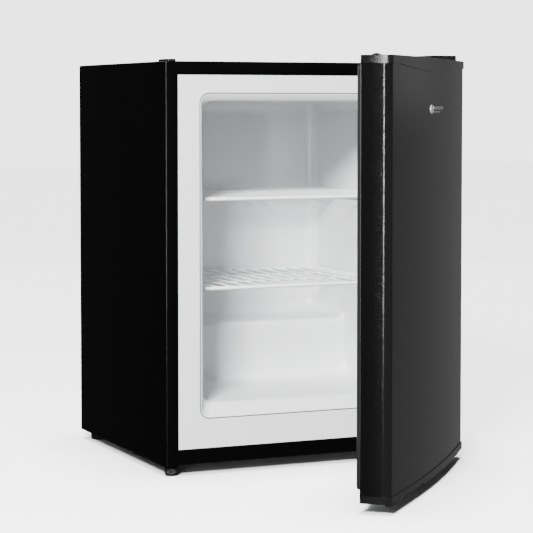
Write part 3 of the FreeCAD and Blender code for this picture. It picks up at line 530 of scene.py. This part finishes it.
# %% Rings
def soft_ring(low, high, radius, y, steps=6):
    """A rounded rectangle that stands across the front-to-back line; counter-clockwise from the front."""
    radius = max(radius, 0.02 * MM)
    (x_low, z_low), (x_high, z_high) = low, high
    corners = [(x_high - radius, z_low + radius, -90), (x_high - radius, z_high - radius, 0),
               (x_low + radius, z_high - radius, 90), (x_low + radius, z_low + radius, 180)]
    points = []
    for centre_x, centre_z, start in corners:
        for k in range(steps + 1):
            angle = math.radians(start + 90 * k / steps)
            points.append((centre_x + radius * math.cos(angle), y, centre_z + radius * math.sin(angle)))
    return points


def inset_ring(low, high, radius, inset, y, steps=6):
    """The same ring, moved inward by a distance."""
    return soft_ring((low[0] + inset, low[1] + inset), (high[0] - inset, high[1] - inset),
                     radius - inset, y, steps)


def smooth_shaded(piece, sharp_angle=None):
    for face in piece.data.polygons:
        face.use_smooth = True
    if sharp_angle:
        piece.data.set_sharp_from_angle(angle=math.radians(sharp_angle))
    else:
        normals = piece.modifiers.new("even_normals", "WEIGHTED_NORMAL")
        normals.keep_sharp = True
    return piece


def swung(piece):
    """Turns a piece that was made on the closed door to where the open door stands."""
    piece.data.transform(SWING)
    return piece


def soft_box(shape, low, high):
    """A box between two corners, added to a bmesh."""
    low, high = Vector(low), Vector(high)
    made = bmesh.ops.create_cube(shape, size=1)["verts"]
    for vert in made:
        vert.co = Vector([(low[i] + high[i]) / 2 + vert.co[i] * (high[i] - low[i]) for i in range(3)])


print("ring helpers ready")

# %% [markdown]
# ## The cabinet shell
# One sheet makes both sides and the top. Its front edge is rolled over a small radius into a flange, and
# that radius is what catches the light. The flange is mitred at the corners, where a fine slit shows.

# %% Cabinet shell
SHEET = 1.0 * MM
ROLL = 2.4 * MM
FLANGE = 20 * MM
SLIT_EDGES = (4, 11)


def shell_path(inset, y, steps=6):
    """An upside-down U, moved inward by a distance."""
    radius = max(3.2 * MM - inset, 0)
    x, top, low = HALF - inset, cab_high.z - inset, cab_low.z
    points = [(-x, y, low)]
    for centre_x, start in ((-x + radius, 180), (x - radius, 90)):
        for k in range(steps + 1):
            angle = math.radians(start - 90 * k / steps)
            points.append((centre_x + radius * math.cos(angle), y, top - radius + radius * math.sin(angle)))
    return points + [(x, y, low)]


def mitred(points, slit, steps=6):
    """Pulls the two halves of each corner apart by half a slit."""
    out = [list(p) for p in points]
    for first, side in ((1, -1), (steps + 2, 1)):
        for k in range(steps + 1):
            upright = (k <= steps // 2) == (side < 0)
            if upright:
                out[first + k][2] -= slit / 2
            else:
                out[first + k][0] -= side * slit / 2
    return out


def cabinet_shell(shape):
    sections = [(FLANGE, FRONT + SHEET), (FLANGE, FRONT), (ROLL, FRONT)]
    for k in range(1, 6):
        angle = math.radians(90 * k / 5)
        sections.append((ROLL * (1 - math.sin(angle)), FRONT + ROLL * (1 - math.cos(angle))))
    sections += [(0, BACK), (SHEET, BACK), (SHEET, FRONT + SHEET)]
    rings = []
    for number, (inset, y) in enumerate(sections):
        path = shell_path(inset, y)
        rings.append([shape.verts.new(p) for p in (mitred(path, 0.5 * MM) if number < 2 else path)])
    for number, (ring, after) in enumerate(zip(rings, rings[1:] + rings[:1])):
        for k in range(len(ring) - 1):
            in_slit = number < 2 and k in SLIT_EDGES
            if not in_slit:
                shape.faces.new((ring[k], ring[k + 1], after[k + 1], after[k]))
    shape.faces.new([ring[0] for ring in rings])
    shape.faces.new([ring[-1] for ring in rings][::-1])
    bmesh.ops.remove_doubles(shape, verts=shape.verts, dist=1e-6)


carry(smooth_shaded(mesh_from("cabinet_shell", cabinet_shell, black_satin), 40), "outer_wrapper")
carry(dress("front_bottom_rail", black_satin, 0.9 * MM, 3), "front_bottom_rail")

# %% [markdown]
# ## The white liner
# The liner is one formed sheet, so nothing in it is sharp. A flange runs behind the cabinet's flange. A
# fine groove goes round the mouth, and its faces are painted dark grey as painted shade in the groove. The
# mouth narrows like a funnel. The cavity has large soft corners at the back, and a step over the
# compressor.

# %% Liner
SILL = 20 * MM
CAVITY = {"low": (-CAVITY_X, 0.107), "high": (CAVITY_X, 0.5685)}
MOUTH = {"low": (-MOUTH_X, CAVITY["low"][1] - SILL), "high": (MOUTH_X, CAVITY["high"][1] + FUNNEL)}
STEP_FRONT, STEP_TOP, STEP_LEAN, CAVITY_BACK = 0.0205, 0.205, 0.004, 0.145


def mouth_rings():
    """The flange, the groove round the mouth, and the funnel."""
    face = FRONT + SHEET + 0.2 * MM
    tuck = 6 * MM
    outer_low, outer_high = (tuck - HALF, rail_top - 2 * MM), (HALF - tuck, cab_high.z - tuck)
    rings = [soft_ring(outer_low, outer_high, 2 * MM, face)]
    for inset, depth in ((-3.4, 0), (-2.6, 0), (-2.4, 0.7), (-1.1, 0.7), (-0.9, 0), (-0.2, 0), (0.3, 0.25),
                         (0.7, 0.7), (1.0, 1.2)):
        rings.append(inset_ring(MOUTH["low"], MOUTH["high"], 13 * MM, inset * MM, face + depth * MM))
    return rings


def funnel_ring(share, top_share, y):
    """A ring part of the way from the mouth to the cavity; its top goes at its own pace."""
    low = [mouth + (cavity - mouth) * share for mouth, cavity in zip(MOUTH["low"], CAVITY["low"])]
    high = [mouth + (cavity - mouth) * pace
            for mouth, cavity, pace in zip(MOUTH["high"], CAVITY["high"], (share, top_share))]
    return soft_ring(low, high, 14 * MM, y)


def floor_line():
    """The cavity floor from the front to the back: it climbs the step over the compressor."""
    floor_z = CAVITY["low"][1]
    line = [(FRONT + 0.032, floor_z), (STEP_FRONT, floor_z), (STEP_FRONT + STEP_LEAN, STEP_TOP),
            (CAVITY_BACK + 0.001, STEP_TOP)]
    return path_with_bends(line, (16 * MM, 9 * MM), 7)


def liner(shape):
    rings = mouth_rings()
    for share, top_share, y in ((0.08, 0.16, 2.4), (0.17, 0.42, 4.6), (0.28, 0.74, 7.0), (0.42, 0.93, 9.8),
                                (0.60, 0.98, 13.5), (0.86, 1.0, 19.0), (0.97, 1.0, 24.0), (1.0, 1.0, 30.0)):
        rings.append(funnel_ring(share, top_share, FRONT + y * MM))
    bend = 22 * MM
    for y, z in floor_line():
        if y < CAVITY_BACK - bend:
            rings.append(soft_ring((CAVITY["low"][0], z), CAVITY["high"], 16 * MM, y))
    low, high = (CAVITY["low"][0], STEP_TOP), CAVITY["high"]
    for k in range(9):
        angle = math.radians(90 * k / 8)
        rings.append(inset_ring(low, high, bend + 2 * MM, bend * (1 - math.cos(angle)),
                                CAVITY_BACK - bend * (1 - math.sin(angle))))
    rings.append(inset_ring(low, high, bend + 2 * MM, bend + 20 * MM, CAVITY_BACK))
    loft(shape, rings, cap_last=True)
    shape.faces.ensure_lookup_table()
    around = len(rings[0])
    # The groove's faces take the second finish, the dark grey of painted shade.
    groove_start, groove_end = 2, 5
    for face in shape.faces[around * groove_start:around * groove_end]:
        face.material_index = 1


def ledges(shape):
    """The ribs that the shelves slide on, rooted a little way into the wall."""
    reach, root, under, gap = 9 * MM, 1.4 * MM, 6.2 * MM, 0.4 * MM
    from_front, from_back = 42 * MM, 12 * MM
    for node in ("shelf_lower", "shelf_top"):
        shelf_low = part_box(node)[0].z
        for side in (-1, 1):
            inner, outer = side * (CAVITY_X - reach), side * (CAVITY_X + root)
            corner_low = (min(inner, outer), FRONT + from_front, shelf_low - under)
            corner_high = (max(inner, outer), CAVITY_BACK - from_back, shelf_low - gap)
            soft_box(shape, corner_low, corner_high)


white_liner = smooth_shaded(mesh_from("white_liner", liner, white_plastic))
# The second finish is the painted shade in the groove round the mouth.
white_liner.data.materials.append(groove_painted_shade)
carry(white_liner, "inner_liner")
shelf_ledges = mesh_from("shelf_ledges", ledges, white_plastic)
soften(shelf_ledges, 2.2 * MM, 4)
carry(shelf_ledges, "inner_liner")

# %% [markdown]
# ## Geometry groups
# Wires and screws repeat, so they are grown by Geometry Nodes. A group has named inputs, and `grown`
# makes a plain mesh of what it gives.


# %% Geometry groups
def geometry_group(name, inputs):
    tree = bpy.data.node_groups.new(name, "GeometryNodeTree")
    for label, kind in inputs:
        tree.interface.new_socket(name=label, in_out="INPUT", socket_type=kind)
    tree.interface.new_socket(name="Geometry", in_out="OUTPUT", socket_type="NodeSocketGeometry")
    graph = Graph(tree)
    enter = tree.nodes.new("NodeGroupInput")
    leave = tree.nodes.new("NodeGroupOutput")
    given = {label: Wire(graph, enter.outputs[label]) for label, kind in inputs}
    return graph, given, leave


def grown(name, graph, values, base_points=((0, 0, 0),)):
    """Runs a group on a few points, and keeps what it makes as a mesh."""
    mesh = bpy.data.meshes.new(name)
    mesh.from_pydata(base_points, [], [])
    piece = bpy.data.objects.new(name, mesh)
    bpy.context.collection.objects.link(piece)
    grow = piece.modifiers.new("grow", "NODES")
    grow.node_group = graph.tree
    for socket in graph.tree.interface.items_tree:
        if socket.in_out == "INPUT" and socket.name in values:
            grow[socket.identifier] = values[socket.name]
    bake(piece)
    return piece


def round_bar(graph, path, radius, sides=12):
    """A bar of round section along a curve."""
    section = graph.add("GeometryNodeCurvePrimitiveCircle", None, {"Resolution": sides, "Radius": radius})
    return graph.add("GeometryNodeCurveToMesh", None,
                     {"Curve": path, "Profile Curve": section, "Fill Caps": True})


def row_of(graph, thing, count, start, step):
    """The same thing again and again on a straight row."""
    row = graph.add("GeometryNodeMeshLine", None, {"Count": count, "Start Location": start, "Offset": step})
    return graph.add("GeometryNodeInstanceOnPoints", None, {"Points": row, "Instance": thing})


def finish_group(graph, leave, parts, material):
    whole = graph.add("GeometryNodeJoinGeometry", None, {"Geometry": parts})
    real = graph.add("GeometryNodeRealizeInstances", None, {"Geometry": whole})
    smooth = graph.add("GeometryNodeSetShadeSmooth", None, {"Geometry": real})
    graph.plug(leave, "Geometry", graph.add("GeometryNodeSetMaterial", None,
                                            {"Geometry": smooth, "Material": material}))


print("geometry helpers ready")

# %% [markdown]
# ## The wire shelves
# A frame bar goes all round, bent at the corners. Twelve thinner wires run from front to back, level with
# its top, and two cross bars are welded under them. All of it has one white coat.


# %% Shelves
def rack_group():
    graph, given, leave = geometry_group("wire_rack", [
        ("Width", "NodeSocketFloat"), ("Depth", "NodeSocketFloat"), ("Bar", "NodeSocketFloat"),
        ("Thin", "NodeSocketFloat"), ("Pitch", "NodeSocketFloat"), ("Wires", "NodeSocketInt"),
        ("Middle", "NodeSocketVector")])
    bar, thin = given["Bar"], given["Thin"]
    long, deep = given["Width"] - bar * 2, given["Depth"] - bar * 2
    frame_line = graph.add("GeometryNodeCurvePrimitiveQuadrilateral", None, {"Width": long, "Height": deep})
    bent = graph.add("GeometryNodeFilletCurve", {"mode": "POLY"},
                     {"Curve": frame_line, "Count": 6, "Radius": 9 * MM})
    parts = [round_bar(graph, bent, bar, 16)]
    half_deep = deep * 0.5
    lift = bar - thin
    ends = [graph.add("ShaderNodeCombineXYZ", None, {1: y, 2: lift}) for y in (0 - half_deep, half_deep)]
    wire = graph.add("GeometryNodeCurvePrimitiveLine", None, {"Start": ends[0], "End": ends[1]})
    first = graph.add("ShaderNodeCombineXYZ", None, {0: given["Pitch"] * (given["Wires"] - 1) * -0.5})
    step = graph.add("ShaderNodeCombineXYZ", None, {0: given["Pitch"]})
    parts.append(row_of(graph, round_bar(graph, wire, thin), given["Wires"], first, step))
    sides = [graph.add("ShaderNodeCombineXYZ", None, {0: x}) for x in (long * -0.5, long * 0.5)]
    cross = graph.add("GeometryNodeCurvePrimitiveLine", None, {"Start": sides[0], "End": sides[1]})
    under = graph.add("ShaderNodeCombineXYZ", None, {1: deep * -0.15, 2: bar - thin * 2.8})
    apart = graph.add("ShaderNodeCombineXYZ", None, {1: deep * 0.34})
    parts.append(row_of(graph, round_bar(graph, cross, thin), 2, under, apart))
    placed = graph.add("GeometryNodeTransform", None, {
        "Geometry": graph.add("GeometryNodeJoinGeometry", None, {"Geometry": parts}),
        "Translation": given["Middle"]})
    finish_group(graph, leave, [placed], shelf_coat)
    return graph


rack = rack_group()
for node in ("shelf_lower", "shelf_top"):
    low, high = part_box(node)
    middle = ((low.x + high.x) / 2, (low.y + high.y) / 2, high.z - 3 * MM)
    values = {"Width": high.x - low.x, "Depth": high.y - low.y, "Bar": 3 * MM, "Thin": 1.5 * MM,
              "Pitch": 25 * MM, "Wires": 12, "Middle": middle}
    shelf = grown(node + "_wires", rack, values)
    carry(shelf, node)

# %% [markdown]
# ## The door
# The door is made shut, in front of the cabinet, and then swung on its hinge. Its skin is one sheet: flat
# sides, a rolled corner, a narrow chamfer, and a face that bows out by one centimetre.

# %% Door skin
DOOR_BACK, SIDE_END, FACE_EDGE = -0.207, -0.2405, -0.2505
DOOR_LOW, DOOR_HIGH = 0.0152, 0.6319
FACE_X, BOW = HALF - 3.5 * MM, 0.0101
BOW_RADIUS = FACE_X ** 2 / (2 * BOW) + BOW / 2


def bow_line(count=40):
    """The face seen from above, from its left edge to its right edge."""
    reach = math.asin(FACE_X / BOW_RADIUS)
    centre_y = FACE_EDGE - BOW + BOW_RADIUS
    angles = [-reach + 2 * reach * k / count for k in range(count + 1)]
    return [(BOW_RADIUS * math.sin(a), centre_y - BOW_RADIUS * math.cos(a)) for a in angles]


def door_line():
    """The whole skin seen from above, from one rear return to the other."""
    bow = bow_line()
    corners = [(16 * MM - HALF, DOOR_BACK), (-HALF, DOOR_BACK), (-HALF, SIDE_END), bow[0], bow[1]]
    left = path_with_bends(corners, (1.5 * MM, 14 * MM, 0.8 * MM), 6)
    right = [Vector((-p.x, p.y)) for p in left][::-1]
    return left + [Vector(p) for p in bow[2:-2]] + right


def door_skin(shape):
    sheet_along(shape, door_line(), DOOR_LOW + 3 * MM, DOOR_HIGH - 3 * MM, 4)


carry(swung(smooth_shaded(mesh_from("door_skin", door_skin, door_sheet), 14)), "door_outer_panel")
carry(dress("door_top_cap", cap_plastic, 0.9 * MM, 3), "door_top_cap")
carry(dress("door_bottom_cap", cap_plastic, 0.9 * MM, 3), "door_bottom_cap")

# %% [markdown]
# ## The inside of the door
# The inner skin is formed like the liner: a flange, and a raised panel with soft edges. The seal sits on
# the flange. Its section has a bellows at its outer side and a flat pocket for the magnet.


# %% Door inside
PANEL_GAP = 14 * MM
PANEL = {"low": (PANEL_GAP - MOUTH_X, 0.101), "high": (MOUTH_X - PANEL_GAP, 0.5655)}


def door_inside(shape):
    face = DOOR_BACK + SHEET
    low, high = (-HALF + 2 * MM, DOOR_LOW + 2 * MM), (HALF - 2 * MM, DOOR_HIGH - 2 * MM)
    rings = [soft_ring(low, high, 3 * MM, DOOR_BACK), soft_ring(low, high, 3 * MM, face)]
    steps = [(-3.0, 0), (-0.6, 0.4), (0.8, 2.0), (3.6, 9.5), (4.6, 12.2), (6.2, 14.2), (8.8, 15.0),
             (30, 15.0), (32.5, 14.4), (35, 12.6), (38, 12.0)]
    for inset, rise in steps:
        rings.append(inset_ring(PANEL["low"], PANEL["high"], 18 * MM, inset * MM, face + rise * MM))
    loft(shape, rings, cap_last=True)
    bmesh.ops.reverse_faces(shape, faces=shape.faces)


def seal(shape):
    section = [(15, 0), (15, 0.6), (13.6, 1.6), (11.6, 2.2), (10.6, 3.2), (10.8, 4.6), (10.2, 5.3),
               (9.4, 5.6), (1.6, 5.6), (0.8, 5.3), (0.3, 4.7), (0.6, 3.7), (1.6, 3.0), (0.6, 2.2), (0, 1.2),
               (0, 0)]
    low, high = (5 * MM - HALF, DOOR_LOW + 16 * MM), (HALF - 13 * MM, DOOR_HIGH - 10 * MM)
    loft(shape, [inset_ring(low, high, 9 * MM, u * MM, DOOR_BACK + SHEET + v * MM) for u, v in section])


inner_skin = smooth_shaded(mesh_from("door_inner_skin", door_inside, black_plastic), 60)
carry(swung(inner_skin), "door_liner")
carry(swung(smooth_shaded(mesh_from("door_seal", seal, seal_rubber), 50)), "door_gasket")

# %% [markdown]
# ## Badge
# The badge is plain: a ring with a six-pointed star in it and two bars, all of thin silver plate. Every
# piece of it is bent to follow the bow of the face.


# %% Badge
BADGE_MIDDLE = 0.5569
BADGE_THICK = 0.8 * MM
MARK_X, MARK_OUTER, MARK_INNER, MARK_RAY = -0.0349, 6.95 * MM, 5.1 * MM, 3.9 * MM
BAR_START = -0.0245
BARS = ((0.0419, 2.2 * MM, 4.6 * MM), (0.0190, -3.4 * MM, 2.2 * MM))


def on_face(x):
    """How far forward the closed door's face stands at a place across it."""
    return FACE_EDGE - BOW + BOW_RADIUS - math.sqrt(BOW_RADIUS ** 2 - x ** 2)


def plate_on_face(shape, start, end, thick):
    """A thin straight bar on the face, between two places (x, z)."""
    start, end = Vector(start), Vector(end)
    across = (end - start).normalized().orthogonal() * thick / 2
    steps = max(2, int((end - start).length / (6 * MM)) + 1)
    rings = []
    for k in range(steps + 1):
        middle = start.lerp(end, k / steps)
        ring = []
        for side, out in ((1, 0), (1, 1), (-1, 1), (-1, 0)):
            x, z = middle + across * side
            ring.append((x, on_face(x) - out * BADGE_THICK, z))
        rings.append(ring)
    loft(shape, rings, cap_first=True, cap_last=True)


def ring_on_face(shape, centre, outer, inner, count=32):
    """A flat ring that follows the face."""
    rings = []
    for radius, out in ((outer, 0), (outer, 1), (inner, 1), (inner, 0)):
        ring = []
        for k in range(count):
            angle = 2 * math.pi * k / count
            x, z = centre.x + radius * math.cos(angle), centre.y + radius * math.sin(angle)
            ring.append((x, on_face(x) - out * BADGE_THICK, z))
        rings.append(ring)
    loft(shape, rings)


def badge(shape):
    centre = Vector((MARK_X, BADGE_MIDDLE))
    ring_on_face(shape, centre, MARK_OUTER, MARK_INNER)
    for k in range(3):
        way = Vector((math.sin(math.radians(60 * k)), math.cos(math.radians(60 * k)))) * MARK_RAY
        plate_on_face(shape, centre - way, centre + way, 1.1 * MM)
    for end, rise, thick in BARS:
        plate_on_face(shape, (BAR_START, centre.y + rise), (end, centre.y + rise), thick)
    bmesh.ops.recalc_face_normals(shape, faces=shape.faces)


carry(swung(mesh_from("badge", badge, badge_silver)), "door_badge")

# %% [markdown]
# ## Turned pieces
# The feet and the knob are turned or moulded round. A profile is spun about an axis, and ribs for the
# fingers push it in and out.


# %% Turned pieces
def spun(shape, profile, centre, axis, ribs, rib_depth):
    """Spins (radius, height) pairs about an axis; the ribs shape every pair marked by a third value."""
    steps = ribs * 4
    rings = []
    for radius, height, *ribbed in profile:
        ring = []
        for k in range(steps):
            angle = 2 * math.pi * k / steps
            wave = rib_depth * 0.5 * (math.cos(angle * ribs) - 1) if ribbed else 0
            reach = max((radius + wave) * MM, 1e-7)
            flat = (reach * math.cos(angle), reach * math.sin(angle))
            along = height * MM
            offset = (flat[0], flat[1], along) if axis == "Z" else (flat[1], along, flat[0])
            ring.append(Vector(centre) + Vector(offset))
        rings.append(ring)
    loft(shape, rings)
    bmesh.ops.remove_doubles(shape, verts=shape.verts, dist=2e-6)


def front_foot(node):
    low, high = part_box(node)
    centre = ((low.x + high.x) / 2, (low.y + high.y) / 2, 0)
    profile = [(0, 0), (7.5, 0), (8.2, 0.5), (9.4, 0.5), (9.9, 0.9), (10.8, 3.6), (11, 4.4, 1),
               (10.9, 5.2, 1), (10.0, 10.6, 1), (9.7, 11.6), (9.0, 12.3), (8.6, 13.4), (7, 13.5), (7, 16.5),
               (4, 16.6), (4, 33.6), (3.6, 34), (0, 34)]
    piece = mesh_from(node + "_turned", lambda shape: spun(shape, profile, centre, "Z", 26, 0.7),
                      black_plastic)
    carry(smooth_shaded(piece, 40), node)


front_foot("front_foot_left")
front_foot("front_foot_right")


def knob(shape):
    low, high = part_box("thermostat_knob")
    centre = ((low.x + high.x) / 2, low.y, (low.z + high.z) / 2)
    long = (high.y - low.y) / MM
    profile = [(0, 0), (4, 0), (4, long - 14.8), (13.4, long - 14.7), (14.8, long - 13.6, 1),
               (14.7, long - 6.4, 1), (14.0, long - 4.8), (12.6, long - 4.1), (11.4, long - 4.5),
               (0, long - 4.7)]
    spun(shape, profile, centre, "Y", 30, 0.9)
    soft_box(shape, (centre[0] - 2.2 * MM, high.y - 6 * MM, centre[2] - 11 * MM),
             (centre[0] + 2.2 * MM, high.y, centre[2] + 13 * MM))


carry(soften(mesh_from("knob", knob, black_plastic), 0.35 * MM, 2, 50), "thermostat_knob")

# %% [markdown]
# ## The compressor
# Two pressed steel halves are welded round the middle, where a narrow lip stands out.


# %% Compressor
def compressor_can(shape):
    low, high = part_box("compressor_shell")
    crown = (high.z - low.z) / MM
    seam = crown * 0.55
    sections = [(34, 0), (20, 0.8), (9, 4.5), (4, 11), (2.6, 20), (2.4, seam - 4)]
    sections += [(2.2, seam - 3), (0.2, seam - 2.4), (0, seam - 1.4), (0, seam + 1.0), (0.3, seam + 1.6),
                 (2.6, seam + 2.0), (2.8, seam + 5)]
    sections += [(3.2, crown - 30), (5.0, crown - 20), (8.6, crown - 12), (14, crown - 6),
                 (22, crown - 1.6), (31, crown)]
    rings = []
    for inset, rise in sections:
        flat = inset_ring((low.x, low.y), (high.x, high.y), 44 * MM, inset * MM, low.z + rise * MM, 10)
        rings.append([(x, z, y) for x, y, z in flat])
    loft(shape, rings, cap_first=True, cap_last=True)
    bmesh.ops.recalc_face_normals(shape, faces=shape.faces)


carry(smooth_shaded(mesh_from("compressor_can", compressor_can, machine_black), 50), "compressor_shell")

# %% [markdown]
# ## Screws
# One group grows screw heads on any points: a low tapered disc with a cross recess.


# %% Screws
def screw_group():
    graph, given, leave = geometry_group("screw_heads", [
        ("Points", "NodeSocketGeometry"), ("Radius", "NodeSocketFloat"), ("Height", "NodeSocketFloat"),
        ("Turn", "NodeSocketVector")])
    radius, height = given["Radius"], given["Height"]
    taper, slot_long, slot_wide = 0.72, 1.15, 0.26
    head = graph.add("GeometryNodeMeshCone", None, {
        "Vertices": 28, "Radius Top": radius * taper, "Radius Bottom": radius, "Depth": height})
    slots = []
    for across in ((slot_long, slot_wide), (slot_wide, slot_long)):
        size = graph.add("ShaderNodeCombineXYZ", None,
                         {0: radius * across[0], 1: radius * across[1], 2: height * 1.2})
        cube = graph.add("GeometryNodeMeshCube", None, {"Size": size})
        lift = graph.add("ShaderNodeCombineXYZ", None, {2: height * 1.05})
        slots.append(graph.add("GeometryNodeTransform", None, {"Geometry": cube, "Translation": lift}))
    cross = graph.add("GeometryNodeMeshBoolean", {"operation": "UNION", "solver": "EXACT"}, {1: slots})
    cut_head = graph.add("GeometryNodeMeshBoolean", {"operation": "DIFFERENCE", "solver": "EXACT"},
                         {0: head, 1: cross})
    turned = graph.add("GeometryNodeTransform", None, {"Geometry": cut_head, "Rotation": given["Turn"]})
    row = graph.add("GeometryNodeInstanceOnPoints", None, {"Points": given["Points"], "Instance": turned})
    real = graph.add("GeometryNodeRealizeInstances", None, {"Geometry": row})
    graph.plug(leave, "Geometry", graph.add("GeometryNodeSetMaterial", None,
                                            {"Geometry": real, "Material": bright_zinc}))
    return graph


screws = screw_group()
low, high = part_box("bottom_hinge_screws")
head = {"Radius": 3.8 * MM, "Height": 2 * MM, "Turn": (math.pi / 2, 0, 0)}
level = (low.z + high.z) / 2
places = [(x, low.y + head["Height"], level) for x in (low.x + head["Radius"], high.x - head["Radius"])]
heads = grown("bottom_hinge_heads", screws, head, places)
soften(heads, 0.25 * MM, 2, 40)
carry(heads, "bottom_hinge_screws")

# %% [markdown]
# ## The back
# The back sheet is pressed with a shallow frame that stiffens it, and flush screws hold its rim.


# %% Back sheet
def back_sheet(shape):
    low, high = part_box("back_panel")
    corner_low, corner_high = (low.x, low.z), (high.x, high.z)
    rings = [inset_ring(corner_low, corner_high, 1 * MM, 0, low.y)]
    for inset, y in ((0, 0), (16, 0), (18, 0.7), (34, 0.7), (36, 0)):
        rings.append(inset_ring(corner_low, corner_high, (1 + inset) * MM, inset * MM, high.y - y * MM))
    loft(shape, rings, cap_last=True)
    bmesh.ops.reverse_faces(shape, faces=shape.faces)


carry(smooth_shaded(mesh_from("back_sheet", back_sheet, black_satin), 25), "back_panel")
low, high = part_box("back_panel")
rim = 8 * MM
levels = [low.z + rim + (high.z - low.z - 2 * rim) * k / 3 for k in range(4)]
places = [(x, high.y - 0.65 * MM, z) for z in levels for x in (low.x + rim, high.x - rim)]
back_heads = grown("back_screw_heads", screws,
                   {"Radius": 3.4 * MM, "Height": 0.6 * MM, "Turn": (-math.pi / 2, 0, 0)}, places)
carry(back_heads, "back_panel")

# %% [markdown]
# ## Everything else
# The other parts are plain in real life too. Each keeps the shape that the model gives it, with its edges
# rounded by a fraction of a millimetre, or smoothed where it is round.

# %% Dressed parts
dressed = {
    "compressor_bay_panel": (zinc_sheet, 0.4), "bottom_plate": (zinc_sheet, 0.3),
    "compressor_tray": (zinc_sheet, 0.4), "door_hole_plug": (black_plastic, 0.3),
    "top_hinge_bracket": (machine_black, 0.4), "top_hinge_cover": (black_plastic, 1.3),
    "bottom_hinge_bracket": (bright_zinc, 0.4), "hinge_hole_cover": (black_plastic, 0.3),
    "rear_foot_left": (black_rubber, 0.9), "rear_foot_right": (black_rubber, 0.9),
    "compressor_foot_plate": (machine_black, 0.5), "relay_cover": (black_plastic, 2.0),
    "thermostat_bracket": (zinc_sheet, 0.4), "thermostat_body": (black_plastic, 1.2),
    "cord_bracket": (zinc_sheet, 0.4), "mains_cord_gland": (black_rubber, 0.5),
    "compressor_bolts": (bright_zinc, 0.4), "compressor_grommets": (black_rubber, 0.6),
    "top_hinge_pin": (bright_zinc, 0.3), "bottom_hinge_pin": (bright_zinc, 0.3),
    "top_hinge_screws": (bright_zinc, 0.3), "front_foot_sockets": (black_plastic, 0.3),
    "door_top_bush": (black_plastic, 0), "door_bottom_bush": (black_plastic, 0),
    "discharge_pipe": (copper, 0), "suction_pipe": (copper, 0), "filter_drier": (copper, 2.0),
    "condenser_outlet_pipe": (copper, 0), "capillary_tube": (copper, 0),
}
for node, (material, width) in dressed.items():
    carry(dress(node, material, width * MM), node)

# %% [markdown]
# ### Hidden parts
# The foam, the tubes in it and the magnet strips are never seen. They keep the model's own mesh and get a
# finish.

# %% Hidden parts
hidden = {
    "evaporator_tube": copper, "condenser_coil_left": copper, "condenser_coil_right": copper,
    "insulation_foam": foam, "door_foam": foam, "gasket_magnet_strips": black_rubber,
}
for node, material in hidden.items():
    mesh = frame["nodes"][node].data
    mesh.materials.clear()
    mesh.materials.append(material)
print("hidden parts:", ", ".join(hidden))
